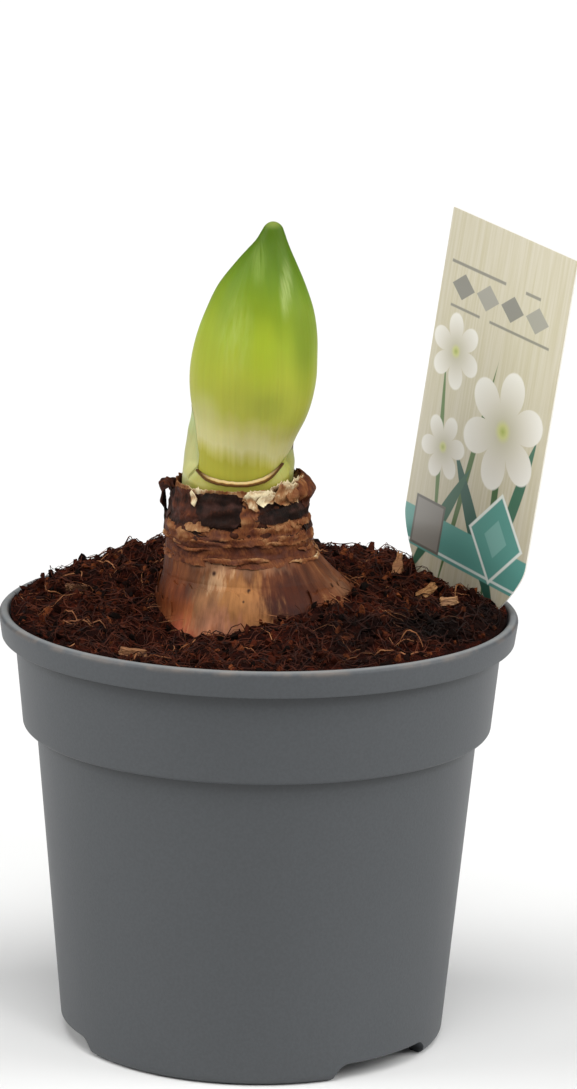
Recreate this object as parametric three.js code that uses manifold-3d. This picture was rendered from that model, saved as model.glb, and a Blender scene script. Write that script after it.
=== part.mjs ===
// An amaryllis bulb with its flower bud, growing in a plastic nursery pot, with a plant label.
//
// Millimetres, +Z up. The front of the pot faces -Y. While the pieces are made, the pot's axis is
// the Z axis and the pot stands on z = 0. At the end the whole is moved so that its origin is the
// middle of the bottom of its box. An angle round the pot, the neck or the bud starts at the front
// and grows towards +X.

import * as THREE from 'three';
import { mergeVertices } from 'three/addons/utils/BufferGeometryUtils.js';
import Module from 'manifold-3d';

const wasm = await Module();
wasm.setup();

// The gap that touching pieces keep.
const gap = 0.3;

// The pot: a 13 cm nursery pot with a rolled rim, a collar, a step and a foot ring.
const rimRadius = 65;
const rimRound = 1.3;
const potHeight = 109.2;
const wall = 1.1;
const lipBottom = 102.6;
const lipEdgeRadius = 64.3;
const lipThickness = 1.1;
const channelHeight = 4;
const brimDrop = 2;
const collarTopRadius = 61.05;
const collarFootRadius = 58.9;
const stepHeight = 79.6;
const stepRound = 1.3;
const bodyTopRadius = 55.45;
const bodyFootRadius = 48.5;
const footRound = 2.6;
const footInnerRadius = 43.6;
const footSlope = 0.8;
const floorUnderside = 4.6;
const floorTop = 5.8;
const floorBevel = { across: 1.8, up: 3, out: 0.3 };
const stepBevel = { across: 0.5, low: 0.6, high: 1.1, top: 1.6 };
const channelBevel = { across: 0.3, up: 1.2 };
const notchHeight = 4.3;
const notchHalfWidth = 16;
const notchTopHalfWidth = 12.2;
const notchAngles = [-75, 45, 165];
const notchDepth = 16;
const notchStartRadius = footInnerRadius - 6;
const drainHoleCount = 8;
const drainHoleRadius = 3.5;
const drainCircleRadius = 36;
const drainToolHeight = 6;

// The potting mix: its height on the axis, its slopes to the right and to the back, its crown, and
// the hollows and heaps in it.
const mixLevel = 110.4;
const mixSlopeX = 0.018;
const mixSlopeY = 0.042;
const mixCrown = 2.6;
const mixTopRadius = 62.1;
const mixShoulderRadius = 57;
const mixEdgeLow = 108.6;
const mixEdgeHigh = 109.6;
const mixBumps = [
  { x: -19, y: -28, height: -5, spread: 12 },
  { x: 20, y: -14, height: 3, spread: 15 },
  { x: -35, y: 42, height: 2, spread: 14 },
];

// The bulb, from its underside to the top of its neck: height, radius, and how far its centre
// stands to the right of the pot's axis.
const bulbRings = [
  { z: 47.5, radius: 13, x: 3 },
  { z: 52, radius: 24, x: 3 },
  { z: 60, radius: 33, x: 3 },
  { z: 70, radius: 37.5, x: 3 },
  { z: 82, radius: 38.3, x: 3 },
  { z: 94, radius: 34.8, x: 2.8 },
  { z: 102, radius: 30.9, x: 2.2 },
  { z: 107, radius: 28, x: 1.5 },
  { z: 111, radius: 25.9, x: 0.3 },
  { z: 114.6, radius: 24.5, x: -0.7 },
  { z: 118, radius: 22.4, x: -2 },
  { z: 121, radius: 20.4, x: -3.3 },
  { z: 126, radius: 18.1, x: -5.1 },
  { z: 131, radius: 17.5, x: -5.6 },
  { z: 139.5, radius: 16.1, x: -5.8 },
];
const cupRadius = 14.7;
const cupFloor = 126;
const neckRound = 0.4;

// The basal plate and its fleshy roots.
const plateRadius = 13;
const plateThickness = 5;
const rootCount = 7;
const rootRadius = 2.2;
const rootReach = 37;
const rootTipHeight = 14;
const rootStep = 6;
const rootTipStep = 4;
const rootBend = 0.35;
const rootPath = [
  { part: 0.18, drop: 0, bend: 0 },
  { part: 0.5, drop: 5, bend: 0.3 },
  { part: 0.85, drop: 14, bend: 0.7 },
];

// The flower bud with its scape, from the foot in the neck to the pointed tip.
const budRings = [
  { z: 126.3, radius: 6, x: -5.5 },
  { z: 132, radius: 9.4, x: -5.6 },
  { z: 139, radius: 11.5, x: -5.6 },
  { z: 148.4, radius: 11.9, x: -5 },
  { z: 153, radius: 12.5, x: -4.2 },
  { z: 158.2, radius: 13.9, x: -3.1 },
  { z: 162.5, radius: 15, x: -2.8 },
  { z: 168, radius: 15.65, x: -2.5 },
  { z: 173.3, radius: 15.5, x: -2.2 },
  { z: 179.3, radius: 14.75, x: -1.6 },
  { z: 185.3, radius: 13.2, x: -1 },
  { z: 191.3, radius: 10.9, x: -0.6 },
  { z: 197.3, radius: 7.7, x: 0.3 },
  { z: 203.2, radius: 4, x: 1.4 },
  { z: 205.8, radius: 2.4, x: 1.6 },
];
const budTip = { z: 206.9, x: 1.6 };
const budDepth = 0.88;
const budRoundBelow = 150;
const budFlatAbove = 165;

// The green leaves and the cut scale round the foot of the bud.
const leafFoot = 126.3;
const leafGap = 0.4;
const leafThickness = 2.1;
const rightLeafThickness = 1.2;
const leafEdgeThickness = 0.9;
const leafRimHeight = 146.5;
const leafHugHeight = 139;
const leftLeafShape = { from: -176, to: -64, tipAngle: -92, spread: 24, tip: 161 };
const rightLeafShape = { from: 60, to: 180, tipAngle: 88, spread: 26, tip: 152.3 };
const cutScaleShape = { from: -61, to: 57, dip: 143.9, riseLeft: 2.1, riseRight: 4.7 };

// The papery tunic round the neck.
const tunicThickness = 1.1;
const tunicTop = 142;
const tunicFoot = 129.8;
const upperBandFoot = 125.6;
const lowerBandFoot = 121;
const leftStripShape = { from: -101, to: -84, thickness: 0.7, bow: 1.1 };
const rightStripShape = { from: 52, to: 98, thickness: 1, rise: 2.4, flare: 0.35 };
const neckScaleShape = { from: -4, to: 84, thickness: 0.9, rise: 0.8 };

// The plant label. Its place is the middle of its width at the level of the potting mix.
const labelWidth = 50;
const labelLength = 142;
const labelThickness = 0.6;
const labelStraight = 79;
const labelAboveMix = 95;
const labelShoulder = 86;
const stakeTop = 104;
const stakeHalfWidth = 7;
const stakeFootHalfWidth = 5;
const stakePoint = 7;
const labelPlace = new THREE.Vector3(49.5, 14, 110.4);
const labelTiltForward = 4.3;
const labelLeanRight = 7.4;
const labelTurn = 54;

// Chips of bark in the top of the mix: place, length, width, turn and tilt.
const chips = [
  { x: 35, y: 24, length: 9, width: 3, turn: 80, tilt: -28 },
  { x: 42, y: 3, length: 6, width: 3, turn: 25, tilt: 12 },
  { x: 48, y: -5, length: 5, width: 2.6, turn: -20, tilt: -10 },
  { x: -46, y: 8, length: 7, width: 2.4, turn: 55, tilt: 14 },
  { x: -30, y: -42, length: 6, width: 2.6, turn: 10, tilt: 8 },
  { x: -14, y: 48, length: 8, width: 3.4, turn: -35, tilt: 10 },
];
const chipThickness = 2;
const chipRise = 0.2;

const potSlices = 60;
const slices = 40;
const arcSteps = 3;
const radians = THREE.MathUtils.degToRad;

// The geometry as a solid that can be joined or cut.
function toSolid(geometry) {
  const bare = geometry.clone();
  bare.deleteAttribute('normal');
  bare.deleteAttribute('uv');
  const merged = mergeVertices(bare);
  return new wasm.Manifold(new wasm.Mesh({
    numProp: 3,
    vertProperties: merged.attributes.position.array,
    triVerts: new Uint32Array(merged.index.array),
  }));
}

// A joined or cut solid as a geometry again.
function toGeometry(solid) {
  const mesh = solid.getMesh();
  const geometry = new THREE.BufferGeometry();
  geometry.setAttribute('position', new THREE.BufferAttribute(mesh.vertProperties, 3));
  geometry.setIndex(new THREE.BufferAttribute(mesh.triVerts, 1));
  geometry.computeVertexNormals();
  return geometry;
}

// Moves each vertex with a function of its place.
function reshape(geometry, move) {
  const position = geometry.attributes.position;
  const point = new THREE.Vector3();
  for (let i = 0; i < position.count; i += 1) {
    point.fromBufferAttribute(position, i);
    move(point);
    position.setXYZ(i, point.x, point.y, point.z);
  }
  geometry.computeVertexNormals();
  return geometry;
}

// A turned shape round the Z axis from points that hold a radius and a height.
function turned(points, count) {
  return new THREE.LatheGeometry(points, count).rotateX(Math.PI / 2);
}

// A value of a ringed outline at a height, in a straight line between two rings.
function ringValue(rings, z, name) {
  const next = rings.findIndex((ring) => ring.z > z);
  if (next === 0) {
    return rings[0][name];
  }
  if (next < 0) {
    return rings.at(-1)[name];
  }
  const low = rings[next - 1];
  const high = rings[next];
  return THREE.MathUtils.mapLinear(z, low.z, high.z, low[name], high[name]);
}

// An uneven edge: a few waves round the neck, between about -1 and 1.
function ragged(degrees, start) {
  const angle = radians(degrees);
  return 0.5 * Math.sin(5 * angle + start) + 0.3 * Math.sin(11 * angle + 2 * start)
    + 0.2 * Math.sin(19 * angle + 3 * start);
}

function mesh(name, geometry, color, roughness) {
  const piece = new THREE.Mesh(
    geometry,
    new THREE.MeshStandardMaterial({ color, roughness, metalness: 0 }),
  );
  piece.name = name;
  return piece;
}

// The pot's section, from the underside of its floor, round the outside and the rim, and back
// down the inside.
function potProfile() {
  const path = new THREE.Path();
  const rimCentre = rimRadius - rimRound;
  path.moveTo(0, floorUnderside);
  path.lineTo(footInnerRadius - footSlope, floorUnderside);
  path.lineTo(footInnerRadius, 0);
  path.absarc(bodyFootRadius - footRound, footRound, footRound, radians(-90), radians(-5));
  path.lineTo(bodyTopRadius, stepHeight - stepBevel.low);
  path.lineTo(bodyTopRadius + stepBevel.across, stepHeight);
  path.absarc(collarFootRadius - stepRound, stepHeight + stepRound, stepRound, radians(-90), radians(-5));
  path.lineTo(collarTopRadius, lipBottom);
  path.lineTo(collarTopRadius + channelBevel.across, lipBottom + channelHeight - channelBevel.up);
  path.lineTo(lipEdgeRadius - lipThickness, lipBottom + channelHeight);
  path.lineTo(lipEdgeRadius - lipThickness, lipBottom);
  path.lineTo(lipEdgeRadius, lipBottom);
  path.absarc(rimCentre, potHeight - rimRound, rimRound, 0, Math.PI);
  path.lineTo(collarTopRadius - wall, lipBottom + brimDrop);
  path.lineTo(collarFootRadius - wall, stepHeight + stepBevel.top);
  path.lineTo(collarFootRadius - wall - stepBevel.across, stepHeight + stepBevel.high);
  path.lineTo(bodyTopRadius - wall, stepHeight + stepBevel.low);
  path.lineTo(bodyFootRadius - wall + floorBevel.out, floorTop + floorBevel.up);
  path.lineTo(bodyFootRadius - wall - floorBevel.across, floorTop);
  path.lineTo(0, floorTop);
  return path.getPoints(arcSteps);
}

// The inside of one arched notch, which runs out through the foot ring.
function notchGeometry(degrees) {
  const shape = new THREE.Shape();
  shape.moveTo(-notchHalfWidth - 0.3, -1);
  shape.lineTo(notchHalfWidth + 0.3, -1);
  shape.lineTo(notchHalfWidth, 0);
  shape.quadraticCurveTo(notchTopHalfWidth + 2, notchHeight, notchTopHalfWidth, notchHeight);
  shape.lineTo(-notchTopHalfWidth, notchHeight);
  shape.quadraticCurveTo(-notchTopHalfWidth - 2, notchHeight, -notchHalfWidth, 0);
  shape.closePath();
  const geometry = new THREE.ExtrudeGeometry(
    shape,
    { depth: notchDepth, bevelEnabled: false, curveSegments: 5 },
  );
  return geometry.rotateX(Math.PI / 2).translate(0, -notchStartRadius, 0).rotateZ(radians(degrees));
}

function nurseryPot() {
  let solid = toSolid(turned(potProfile(), potSlices));
  for (const degrees of notchAngles) {
    solid = solid.subtract(toSolid(notchGeometry(degrees)));
  }
  for (let i = 0; i < drainHoleCount; i += 1) {
    const angle = (i / drainHoleCount) * 2 * Math.PI;
    const hole = new THREE.CylinderGeometry(drainHoleRadius, drainHoleRadius, drainToolHeight, 16);
    hole.rotateX(Math.PI / 2);
    hole.translate(drainCircleRadius * Math.sin(angle), -drainCircleRadius * Math.cos(angle), floorTop);
    solid = solid.subtract(toSolid(hole));
  }
  return mesh('nursery_pot', toGeometry(solid), 0x666e73, 0.6);
}

// A bulb shape turned from its rings and shifted ring by ring. The clearance makes it larger, as
// the tool that makes room for it in the potting mix. With a cup it has the open neck.
function bulbGeometry(clearance, withCup) {
  const foot = bulbRings[0];
  const neck = bulbRings.at(-1);
  const points = [
    new THREE.Vector2(0, foot.z - clearance),
    new THREE.Vector2(foot.radius + clearance, foot.z - clearance),
  ];
  for (const ring of bulbRings.slice(1)) {
    points.push(new THREE.Vector2(ring.radius + clearance, ring.z));
  }
  if (withCup) {
    points.push(new THREE.Vector2(neck.radius - neckRound, neck.z + neckRound));
    points.push(new THREE.Vector2(cupRadius, neck.z));
    points.push(new THREE.Vector2(cupRadius, cupFloor));
    points.push(new THREE.Vector2(0, cupFloor));
  } else {
    points.push(new THREE.Vector2(0, neck.z));
  }
  return reshape(turned(points, slices), (point) => {
    point.x += ringValue(bulbRings, point.z, 'x');
  });
}

function bulb() {
  return mesh('bulb', bulbGeometry(0, true), 0xa8693f, 0.55);
}

// One root: it leaves the basal plate, spreads outwards and turns down towards the pot's floor.
function rootGeometry(index, clearance) {
  const centreX = bulbRings[0].x;
  const top = bulbRings[0].z - gap - plateThickness / 2;
  const angle = ((index + 0.5) / rootCount) * 2 * Math.PI;
  const reach = rootReach - rootStep * (index % 3);
  const turn = rootBend * (index % 2 === 0 ? 1 : -1);
  const place = (part, z, bend) => new THREE.Vector3(
    centreX + reach * part * Math.sin(angle + bend * turn),
    -reach * part * Math.cos(angle + bend * turn),
    z,
  );
  const points = rootPath.map(({ part, drop, bend }) => place(part, top - drop, bend));
  points.push(place(1, rootTipHeight + rootTipStep * (index % 3) - clearance, 1.2));
  const curve = new THREE.CatmullRomCurve3(points);
  const section = new THREE.Shape();
  section.absarc(0, 0, rootRadius + clearance, 0, 2 * Math.PI);
  return new THREE.ExtrudeGeometry(section, { steps: 8, curveSegments: 4, extrudePath: curve });
}

function basalRootsSolid(clearance) {
  const top = bulbRings[0].z - gap;
  const radius = plateRadius + clearance;
  const thickness = plateThickness + 2 * clearance;
  const plate = new THREE.CylinderGeometry(radius, radius - 3, thickness, 24).rotateX(Math.PI / 2);
  plate.translate(bulbRings[0].x, 0, top - plateThickness / 2);
  let solid = toSolid(plate);
  for (let i = 0; i < rootCount; i += 1) {
    solid = solid.add(toSolid(rootGeometry(i, clearance)));
  }
  return solid;
}

function basalRoots() {
  return mesh('basal_roots', toGeometry(basalRootsSolid(0)), 0xd8cbb0, 0.6);
}

// How deep the bud is against its width: round at its foot, flatter where it swells.
function budFlatness(z) {
  return THREE.MathUtils.lerp(1, budDepth, THREE.MathUtils.smoothstep(z, budRoundBelow, budFlatAbove));
}

function flowerBud() {
  const points = [new THREE.Vector2(0, budRings[0].z)];
  for (const ring of budRings) {
    points.push(new THREE.Vector2(ring.radius, ring.z));
  }
  points.push(new THREE.Vector2(0, budTip.z));
  const geometry = reshape(turned(points, slices), (point) => {
    point.x += ringValue(budRings, point.z, 'x');
    point.y *= budFlatness(point.z);
  });
  return mesh('flower_bud', geometry, 0x9aad38, 0.45);
}

// A skin wrapped round the neck: a box bent from one angle to another. The foot and the top are
// heights that depend on the angle. The centre, the inner radius and the thickness depend on the
// height.
function wrapped({ from, to, foot, top, centre, inner, thickness, columns, rows }) {
  const box = new THREE.BoxGeometry(1, 1, 1, columns, rows, 1);
  return reshape(box, (point) => {
    const degrees = THREE.MathUtils.lerp(from, to, point.x + 0.5);
    const angle = radians(degrees);
    const z = THREE.MathUtils.lerp(foot(degrees), top(degrees), point.y + 0.5);
    const radius = inner(z) + (point.z + 0.5) * thickness(z);
    point.set(centre(z) + radius * Math.sin(angle), -radius * Math.cos(angle), z);
  });
}

// A green leaf or scale that hugs the bud from its foot in the neck up to the height of its edge.
function leafGeometry({ from, to }, top, thickness) {
  const geometry = wrapped({
    from,
    to,
    foot: () => leafFoot,
    top,
    centre: (z) => ringValue(budRings, Math.max(z, leafHugHeight), 'x'),
    inner: (z) => ringValue(budRings, Math.max(z, leafHugHeight), 'radius') + leafGap,
    thickness: (z) => THREE.MathUtils.lerp(
      thickness,
      leafEdgeThickness,
      THREE.MathUtils.smoothstep(z, leafRimHeight, leftLeafShape.tip),
    ),
    columns: 12,
    rows: 7,
  });
  return reshape(geometry, (point) => {
    point.y *= budFlatness(point.z);
  });
}

// A leaf whose edge is level but for a point that rises at one angle.
function leaf(name, shape, thickness) {
  const edge = (degrees) => {
    const away = (degrees - shape.tipAngle) / shape.spread;
    return leafRimHeight + (shape.tip - leafRimHeight) * Math.exp(-away * away);
  };
  return mesh(name, leafGeometry(shape, edge, thickness), 0xb4c070, 0.45);
}

// The scale in front of the bud. Its cut edge dips in front and rises more to the right.
function frontScale() {
  const { from, to, dip, riseLeft, riseRight } = cutScaleShape;
  const edge = (degrees) => {
    const part = degrees < 0 ? degrees / from : degrees / to;
    return dip + (degrees < 0 ? riseLeft : riseRight) * part * part;
  };
  return mesh('front_scale', leafGeometry(cutScaleShape, edge, leafThickness), 0x93a046, 0.5);
}

// A papery ring of the tunic on the outside of the bulb, torn open at the back.
function tunicGeometry(foot, top, columns) {
  return wrapped({
    from: -178,
    to: 178,
    foot,
    top,
    centre: (z) => ringValue(bulbRings, z, 'x'),
    inner: (z) => ringValue(bulbRings, z, 'radius') + gap,
    thickness: () => tunicThickness,
    columns,
    rows: 3,
  });
}

const collarTopEdge = (degrees) => tunicTop + 0.7 * ragged(degrees, 0.3);
const collarFootEdge = (degrees) => tunicFoot + 0.5 * ragged(degrees, 1);
const bandEdge = (degrees) => upperBandFoot + 0.5 * ragged(degrees, 2.4);

function tunicCollar() {
  return mesh('tunic_collar', tunicGeometry(collarFootEdge, collarTopEdge, slices), 0x3b2117, 0.6);
}

function upperTunicBand() {
  const top = (degrees) => collarFootEdge(degrees) - gap;
  return mesh('tunic_band_upper', tunicGeometry(bandEdge, top, slices), 0x7a4a2e, 0.6);
}

function lowerTunicBand() {
  const foot = (degrees) => lowerBandFoot + 0.6 * ragged(degrees, 3.7);
  const top = (degrees) => bandEdge(degrees) - gap;
  return mesh('tunic_band_lower', tunicGeometry(foot, top, slices), 0x8a5736, 0.6);
}

// A torn strip of the tunic that stands off the collar and bows outwards to its top.
function leftTunicStrip() {
  const { from, to, thickness, bow } = leftStripShape;
  const outside = (z) => ringValue(bulbRings, z, 'radius') + gap + tunicThickness;
  const geometry = wrapped({
    from,
    to,
    foot: () => tunicFoot + 1.5,
    top: (degrees) => tunicTop - 0.8 + 0.4 * ragged(degrees, 4),
    centre: (z) => ringValue(bulbRings, z, 'x'),
    inner: (z) => outside(z) + gap + bow * THREE.MathUtils.smoothstep(z, tunicFoot + 5, tunicTop),
    thickness: () => thickness,
    columns: 3,
    rows: 6,
  });
  return mesh('tunic_strip_left', geometry, 0x33201a, 0.6);
}

// A torn strip that stands on the collar's top edge and flares outwards.
function rightTunicStrip() {
  const { from, to, thickness, rise, flare } = rightStripShape;
  const neck = bulbRings.at(-1);
  const geometry = wrapped({
    from,
    to,
    foot: (degrees) => collarTopEdge(degrees) + gap,
    top: (degrees) => tunicTop + rise + 0.5 * ragged(degrees, 5),
    centre: () => neck.x,
    inner: (z) => neck.radius + gap + flare * (z - tunicTop),
    thickness: () => thickness,
    columns: 6,
    rows: 2,
  });
  return mesh('tunic_strip_right', geometry, 0x6b4129, 0.6);
}

// Scraps of a dried inner scale, which stand on the neck inside the collar.
function neckScale() {
  const { from, to, thickness, rise } = neckScaleShape;
  const neck = bulbRings.at(-1);
  const geometry = wrapped({
    from,
    to,
    foot: () => neck.z + neckRound + gap,
    top: (degrees) => tunicTop + rise + 0.6 * ragged(degrees, 6),
    centre: () => neck.x,
    inner: () => cupRadius + gap,
    thickness: () => thickness,
    columns: 12,
    rows: 2,
  });
  return mesh('neck_scale', geometry, 0xd9c79c, 0.6);
}

// The label's outline with its foot down. Zero is the level of the potting mix. The clearance
// makes it larger, as the tool that makes its slot.
function labelGeometry(clearance) {
  const half = labelWidth / 2 + clearance;
  const up = (fromTop) => labelAboveMix - fromTop;
  const stake = stakeHalfWidth + clearance;
  const foot = stakeFootHalfWidth + clearance;
  const shape = new THREE.Shape();
  shape.moveTo(-half, up(0));
  shape.lineTo(-half, up(labelStraight));
  shape.quadraticCurveTo(-half, up(labelShoulder), -stake, up(stakeTop));
  shape.lineTo(-foot, up(labelLength - stakePoint));
  shape.lineTo(0, up(labelLength) - clearance);
  shape.lineTo(foot, up(labelLength - stakePoint));
  shape.lineTo(stake, up(stakeTop));
  shape.quadraticCurveTo(half, up(labelShoulder), half, up(labelStraight));
  shape.lineTo(half, up(0));
  shape.closePath();
  const depth = labelThickness + 2 * clearance;
  const geometry = new THREE.ExtrudeGeometry(shape, { depth, bevelEnabled: false, curveSegments: 8 });
  return geometry.rotateX(Math.PI / 2).translate(0, depth / 2, 0);
}

function placeLabel(object) {
  object.position.copy(labelPlace);
  object.rotation.set(radians(labelTiltForward), radians(labelLeanRight), radians(-labelTurn));
}

function plantLabel() {
  const label = mesh('plant_label', labelGeometry(0), 0xd8d2bc, 0.4);
  placeLabel(label);
  return label;
}

// The height of the top of the potting mix. Near the rim it keeps to the height of the rim.
function mixHeight(x, y) {
  const radius = Math.hypot(x, y);
  let height = mixLevel + mixSlopeX * x + mixSlopeY * y + mixCrown * (1 - (radius / mixTopRadius) ** 2);
  for (const bump of mixBumps) {
    const away = Math.hypot(x - bump.x, y - bump.y) / bump.spread;
    height += bump.height * Math.exp(-0.5 * away * away);
  }
  const edge = THREE.MathUtils.clamp(height, mixEdgeLow, mixEdgeHigh);
  const nearRim = THREE.MathUtils.smoothstep(radius, mixShoulderRadius, mixTopRadius);
  return THREE.MathUtils.lerp(height, edge, nearRim);
}

// One chip of bark, a bent splinter with one thin end.
function chipGeometry(chip, clearance) {
  const length = chip.length + 2 * clearance;
  const width = chip.width + 2 * clearance;
  const box = new THREE.BoxGeometry(length, width, chipThickness + 2 * clearance, 4, 1, 1);
  reshape(box, (point) => {
    const along = point.x / length;
    point.y *= 0.8 - 0.5 * along;
    point.z += 0.8 * along * along;
  });
  box.rotateY(radians(chip.tilt)).rotateZ(radians(chip.turn));
  return box.translate(chip.x, chip.y, mixHeight(chip.x, chip.y) + chipRise);
}

function barkChip(chip, index) {
  return mesh(`bark_chip_${index + 1}`, chipGeometry(chip, 0), 0xb07c48, 0.7);
}

// The filling of the pot: it follows the pot's inside and has a hilly top.
function pottingMix() {
  const brim = potHeight - 0.2;
  const points = [
    [0, floorTop + gap],
    [bodyFootRadius - wall - floorBevel.across - gap, floorTop + gap],
    [bodyFootRadius - wall - gap, floorTop + floorBevel.up + gap],
    [bodyTopRadius - wall - gap, stepHeight + stepBevel.low + gap],
    [collarFootRadius - wall - stepBevel.across - gap, stepHeight + stepBevel.top + gap],
    [collarTopRadius - wall - gap, lipBottom + brimDrop + gap],
    [mixTopRadius, potHeight - 1],
  ].map(([radius, height]) => new THREE.Vector2(radius, height));
  for (const radius of [mixTopRadius, 60, 57, 52, 46, 40, 34, 28, 20, 0]) {
    points.push(new THREE.Vector2(radius, brim));
  }
  const filling = reshape(turned(points, slices), (point) => {
    if (point.z > brim - 0.1) {
      point.z = mixHeight(point.x, point.y);
    }
  });
  const slot = new THREE.Object3D();
  placeLabel(slot);
  slot.updateMatrix();
  let solid = toSolid(filling).subtract(toSolid(bulbGeometry(gap, false)));
  solid = solid.subtract(basalRootsSolid(2 * gap));
  solid = solid.subtract(toSolid(labelGeometry(gap).applyMatrix4(slot.matrix)));
  for (const chip of chips) {
    solid = solid.subtract(toSolid(chipGeometry(chip, gap)));
  }
  return mesh('potting_mix', toGeometry(solid), 0x3d1f15, 0.95);
}

const plant = new THREE.Group();
plant.add(nurseryPot(), pottingMix(), bulb(), basalRoots());
plant.add(tunicCollar(), upperTunicBand(), lowerTunicBand());
plant.add(leftTunicStrip(), rightTunicStrip(), neckScale());
plant.add(frontScale());
plant.add(leaf('leaf_left', leftLeafShape, leafThickness));
plant.add(leaf('leaf_right', rightLeafShape, rightLeafThickness));
plant.add(flowerBud(), plantLabel(), ...chips.map(barkChip));

const box = new THREE.Box3().setFromObject(plant, true);
plant.position.set(-(box.min.x + box.max.x) / 2, -(box.min.y + box.max.y) / 2, -box.min.z);

const pottedAmaryllis = new THREE.Group();
pottedAmaryllis.add(plant);

export default pottedAmaryllis;
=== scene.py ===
"""A potted amaryllis bulb with a closed bud and a plant label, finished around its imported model.

The pieces are made in millimetres round the pot's axis, with the front towards -Y, and then moved
into the frame, in metres. An angle round the pot or the neck starts at the front and grows towards
+X. Heights are above the surface that the pot stands on.
"""

import math
import random

import bmesh
import bpy
from bpy.props import FloatProperty, FloatVectorProperty, IntProperty, PointerProperty
from bpy.types import Operator, Panel, PropertyGroup
from mathutils import Euler, Matrix, Vector, noise


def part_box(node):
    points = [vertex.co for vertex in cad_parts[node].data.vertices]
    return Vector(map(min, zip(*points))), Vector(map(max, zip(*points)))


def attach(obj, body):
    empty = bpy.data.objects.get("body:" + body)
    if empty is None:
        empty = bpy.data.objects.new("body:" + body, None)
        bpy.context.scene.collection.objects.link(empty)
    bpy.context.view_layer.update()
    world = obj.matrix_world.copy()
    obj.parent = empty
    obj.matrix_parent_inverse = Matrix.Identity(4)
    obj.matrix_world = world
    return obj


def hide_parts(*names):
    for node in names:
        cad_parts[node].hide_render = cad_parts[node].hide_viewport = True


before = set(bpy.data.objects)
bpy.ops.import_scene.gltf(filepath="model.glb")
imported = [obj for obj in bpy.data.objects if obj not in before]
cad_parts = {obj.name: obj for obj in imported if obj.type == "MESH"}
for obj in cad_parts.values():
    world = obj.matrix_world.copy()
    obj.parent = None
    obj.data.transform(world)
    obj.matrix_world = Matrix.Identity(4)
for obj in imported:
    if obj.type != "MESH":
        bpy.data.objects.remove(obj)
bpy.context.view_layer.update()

bl_info = {
    "name": "Potted Amaryllis",
    "version": (1, 0, 0),
    "blender": (4, 5, 0),
    "location": "3D View > Sidebar > Amaryllis",
    "description": "Builds a potted amaryllis bulb with its bud, potting mix and plant label",
    "category": "Add Mesh",
}

MM = 0.001

# How many steps the turned pieces have round their axis.
POT_SLICES = 200
MIX_SLICES = 330
BULB_SLICES = 220
BUD_SLICES = 168

# The pot's place in the frame, and the gap that the pieces keep.
POT_LOW, POT_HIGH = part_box("nursery_pot")
INTO_FRAME = Matrix.Translation(((POT_LOW.x + POT_HIGH.x) / 2, 0, 0)) @ Matrix.Scale(MM, 4)
GAP = 0.3

# The pot.
RIM_RADIUS = (POT_HIGH.x - POT_LOW.x) / 2 / MM
POT_HEIGHT = POT_HIGH.z / MM
RIM_ROUND = 1.3
WALL = 1.1
LIP_BOTTOM = 102.6
LIP_EDGE_RADIUS = 64.3
LIP_THICKNESS = 1.1
CHANNEL_HEIGHT = 4
COLLAR_TOP_RADIUS = 61.05
COLLAR_FOOT_RADIUS = 58.9
STEP_HEIGHT = 79.6
STEP_ROUND = 1.3
BODY_TOP_RADIUS = 55.45
BODY_FOOT_RADIUS = 48.5
FOOT_ROUND = 2.6
FOOT_INNER_RADIUS = 43.6
FLOOR_UNDERSIDE = 4.6
FLOOR_TOP = 5.8
FILLET = 0.35
NOTCH_HEIGHT = 4.3
NOTCH_HALF_WIDTH = 16
NOTCH_TOP_HALF_WIDTH = 12.2
NOTCH_DEPTH = 16
NOTCH_START_RADIUS = FOOT_INNER_RADIUS - 6
NOTCH_ANGLES = (-75, 45, 165)
DRAIN_HOLES = 8
DRAIN_HOLE_RADIUS = 3.5
DRAIN_CIRCLE_RADIUS = 36

# The potting mix. A bump is its place, its height and how wide it spreads.
MIX_LEVEL = 110.4
MIX_SLOPE = Vector((0.018, 0.042))
MIX_CROWN = 2.6
MIX_RADIUS = 62.1
MIX_SHOULDER_RADIUS = 57
MIX_EDGE = (108.6, 109.6)
MIX_BUMPS = (((-19, -28), -5, 12), ((20, -14), 3, 15), ((-35, 42), 2, 14))
CLOD_HEIGHT, CLOD_SIZE = 3.4, 7.5
LUMP_HEIGHT, LUMP_SIZE = 0.9, 3.1
CRUMB_SHAPES = 7
CRUMB_SMALLEST, CRUMB_LARGEST = 0.5, 2.4
MIX_SEED = 11

# Fibres on the mix: how long and how thick they are, and how many lean on the bulb. Of the pale husk
# strands, first how many.
STRAND_STEPS = 9
STRAND_CURL = 0.16
COIR_SIZE = ((5, 16), (0.14, 0.34))
COIR_LEANING = 60
HUSKS = ((34, (4, 12), (0.2, 0.5)), (14, (12, 20), (0.14, 0.24)))
HUSKS_LEANING = 40

# The bulb and the bud, ring by ring: height, radius, and the place of the centre along X. The bud ends
# in a cap, which starts this many degrees up a round.
BULB_RINGS = (
    (47.5, 13, 3),
    (52, 24, 3),
    (60, 33, 3),
    (70, 37.5, 3),
    (82, 38.3, 3),
    (94, 34.8, 2.8),
    (102, 30.9, 2.2),
    (107, 28, 1.5),
    (111, 25.9, 0.3),
    (114.6, 24.5, -0.7),
    (118, 22.4, -2),
    (121, 20.4, -3.3),
    (126, 18.1, -5.1),
    (131, 17.5, -5.6),
    (139.5, 16.1, -5.8),
)
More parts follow.
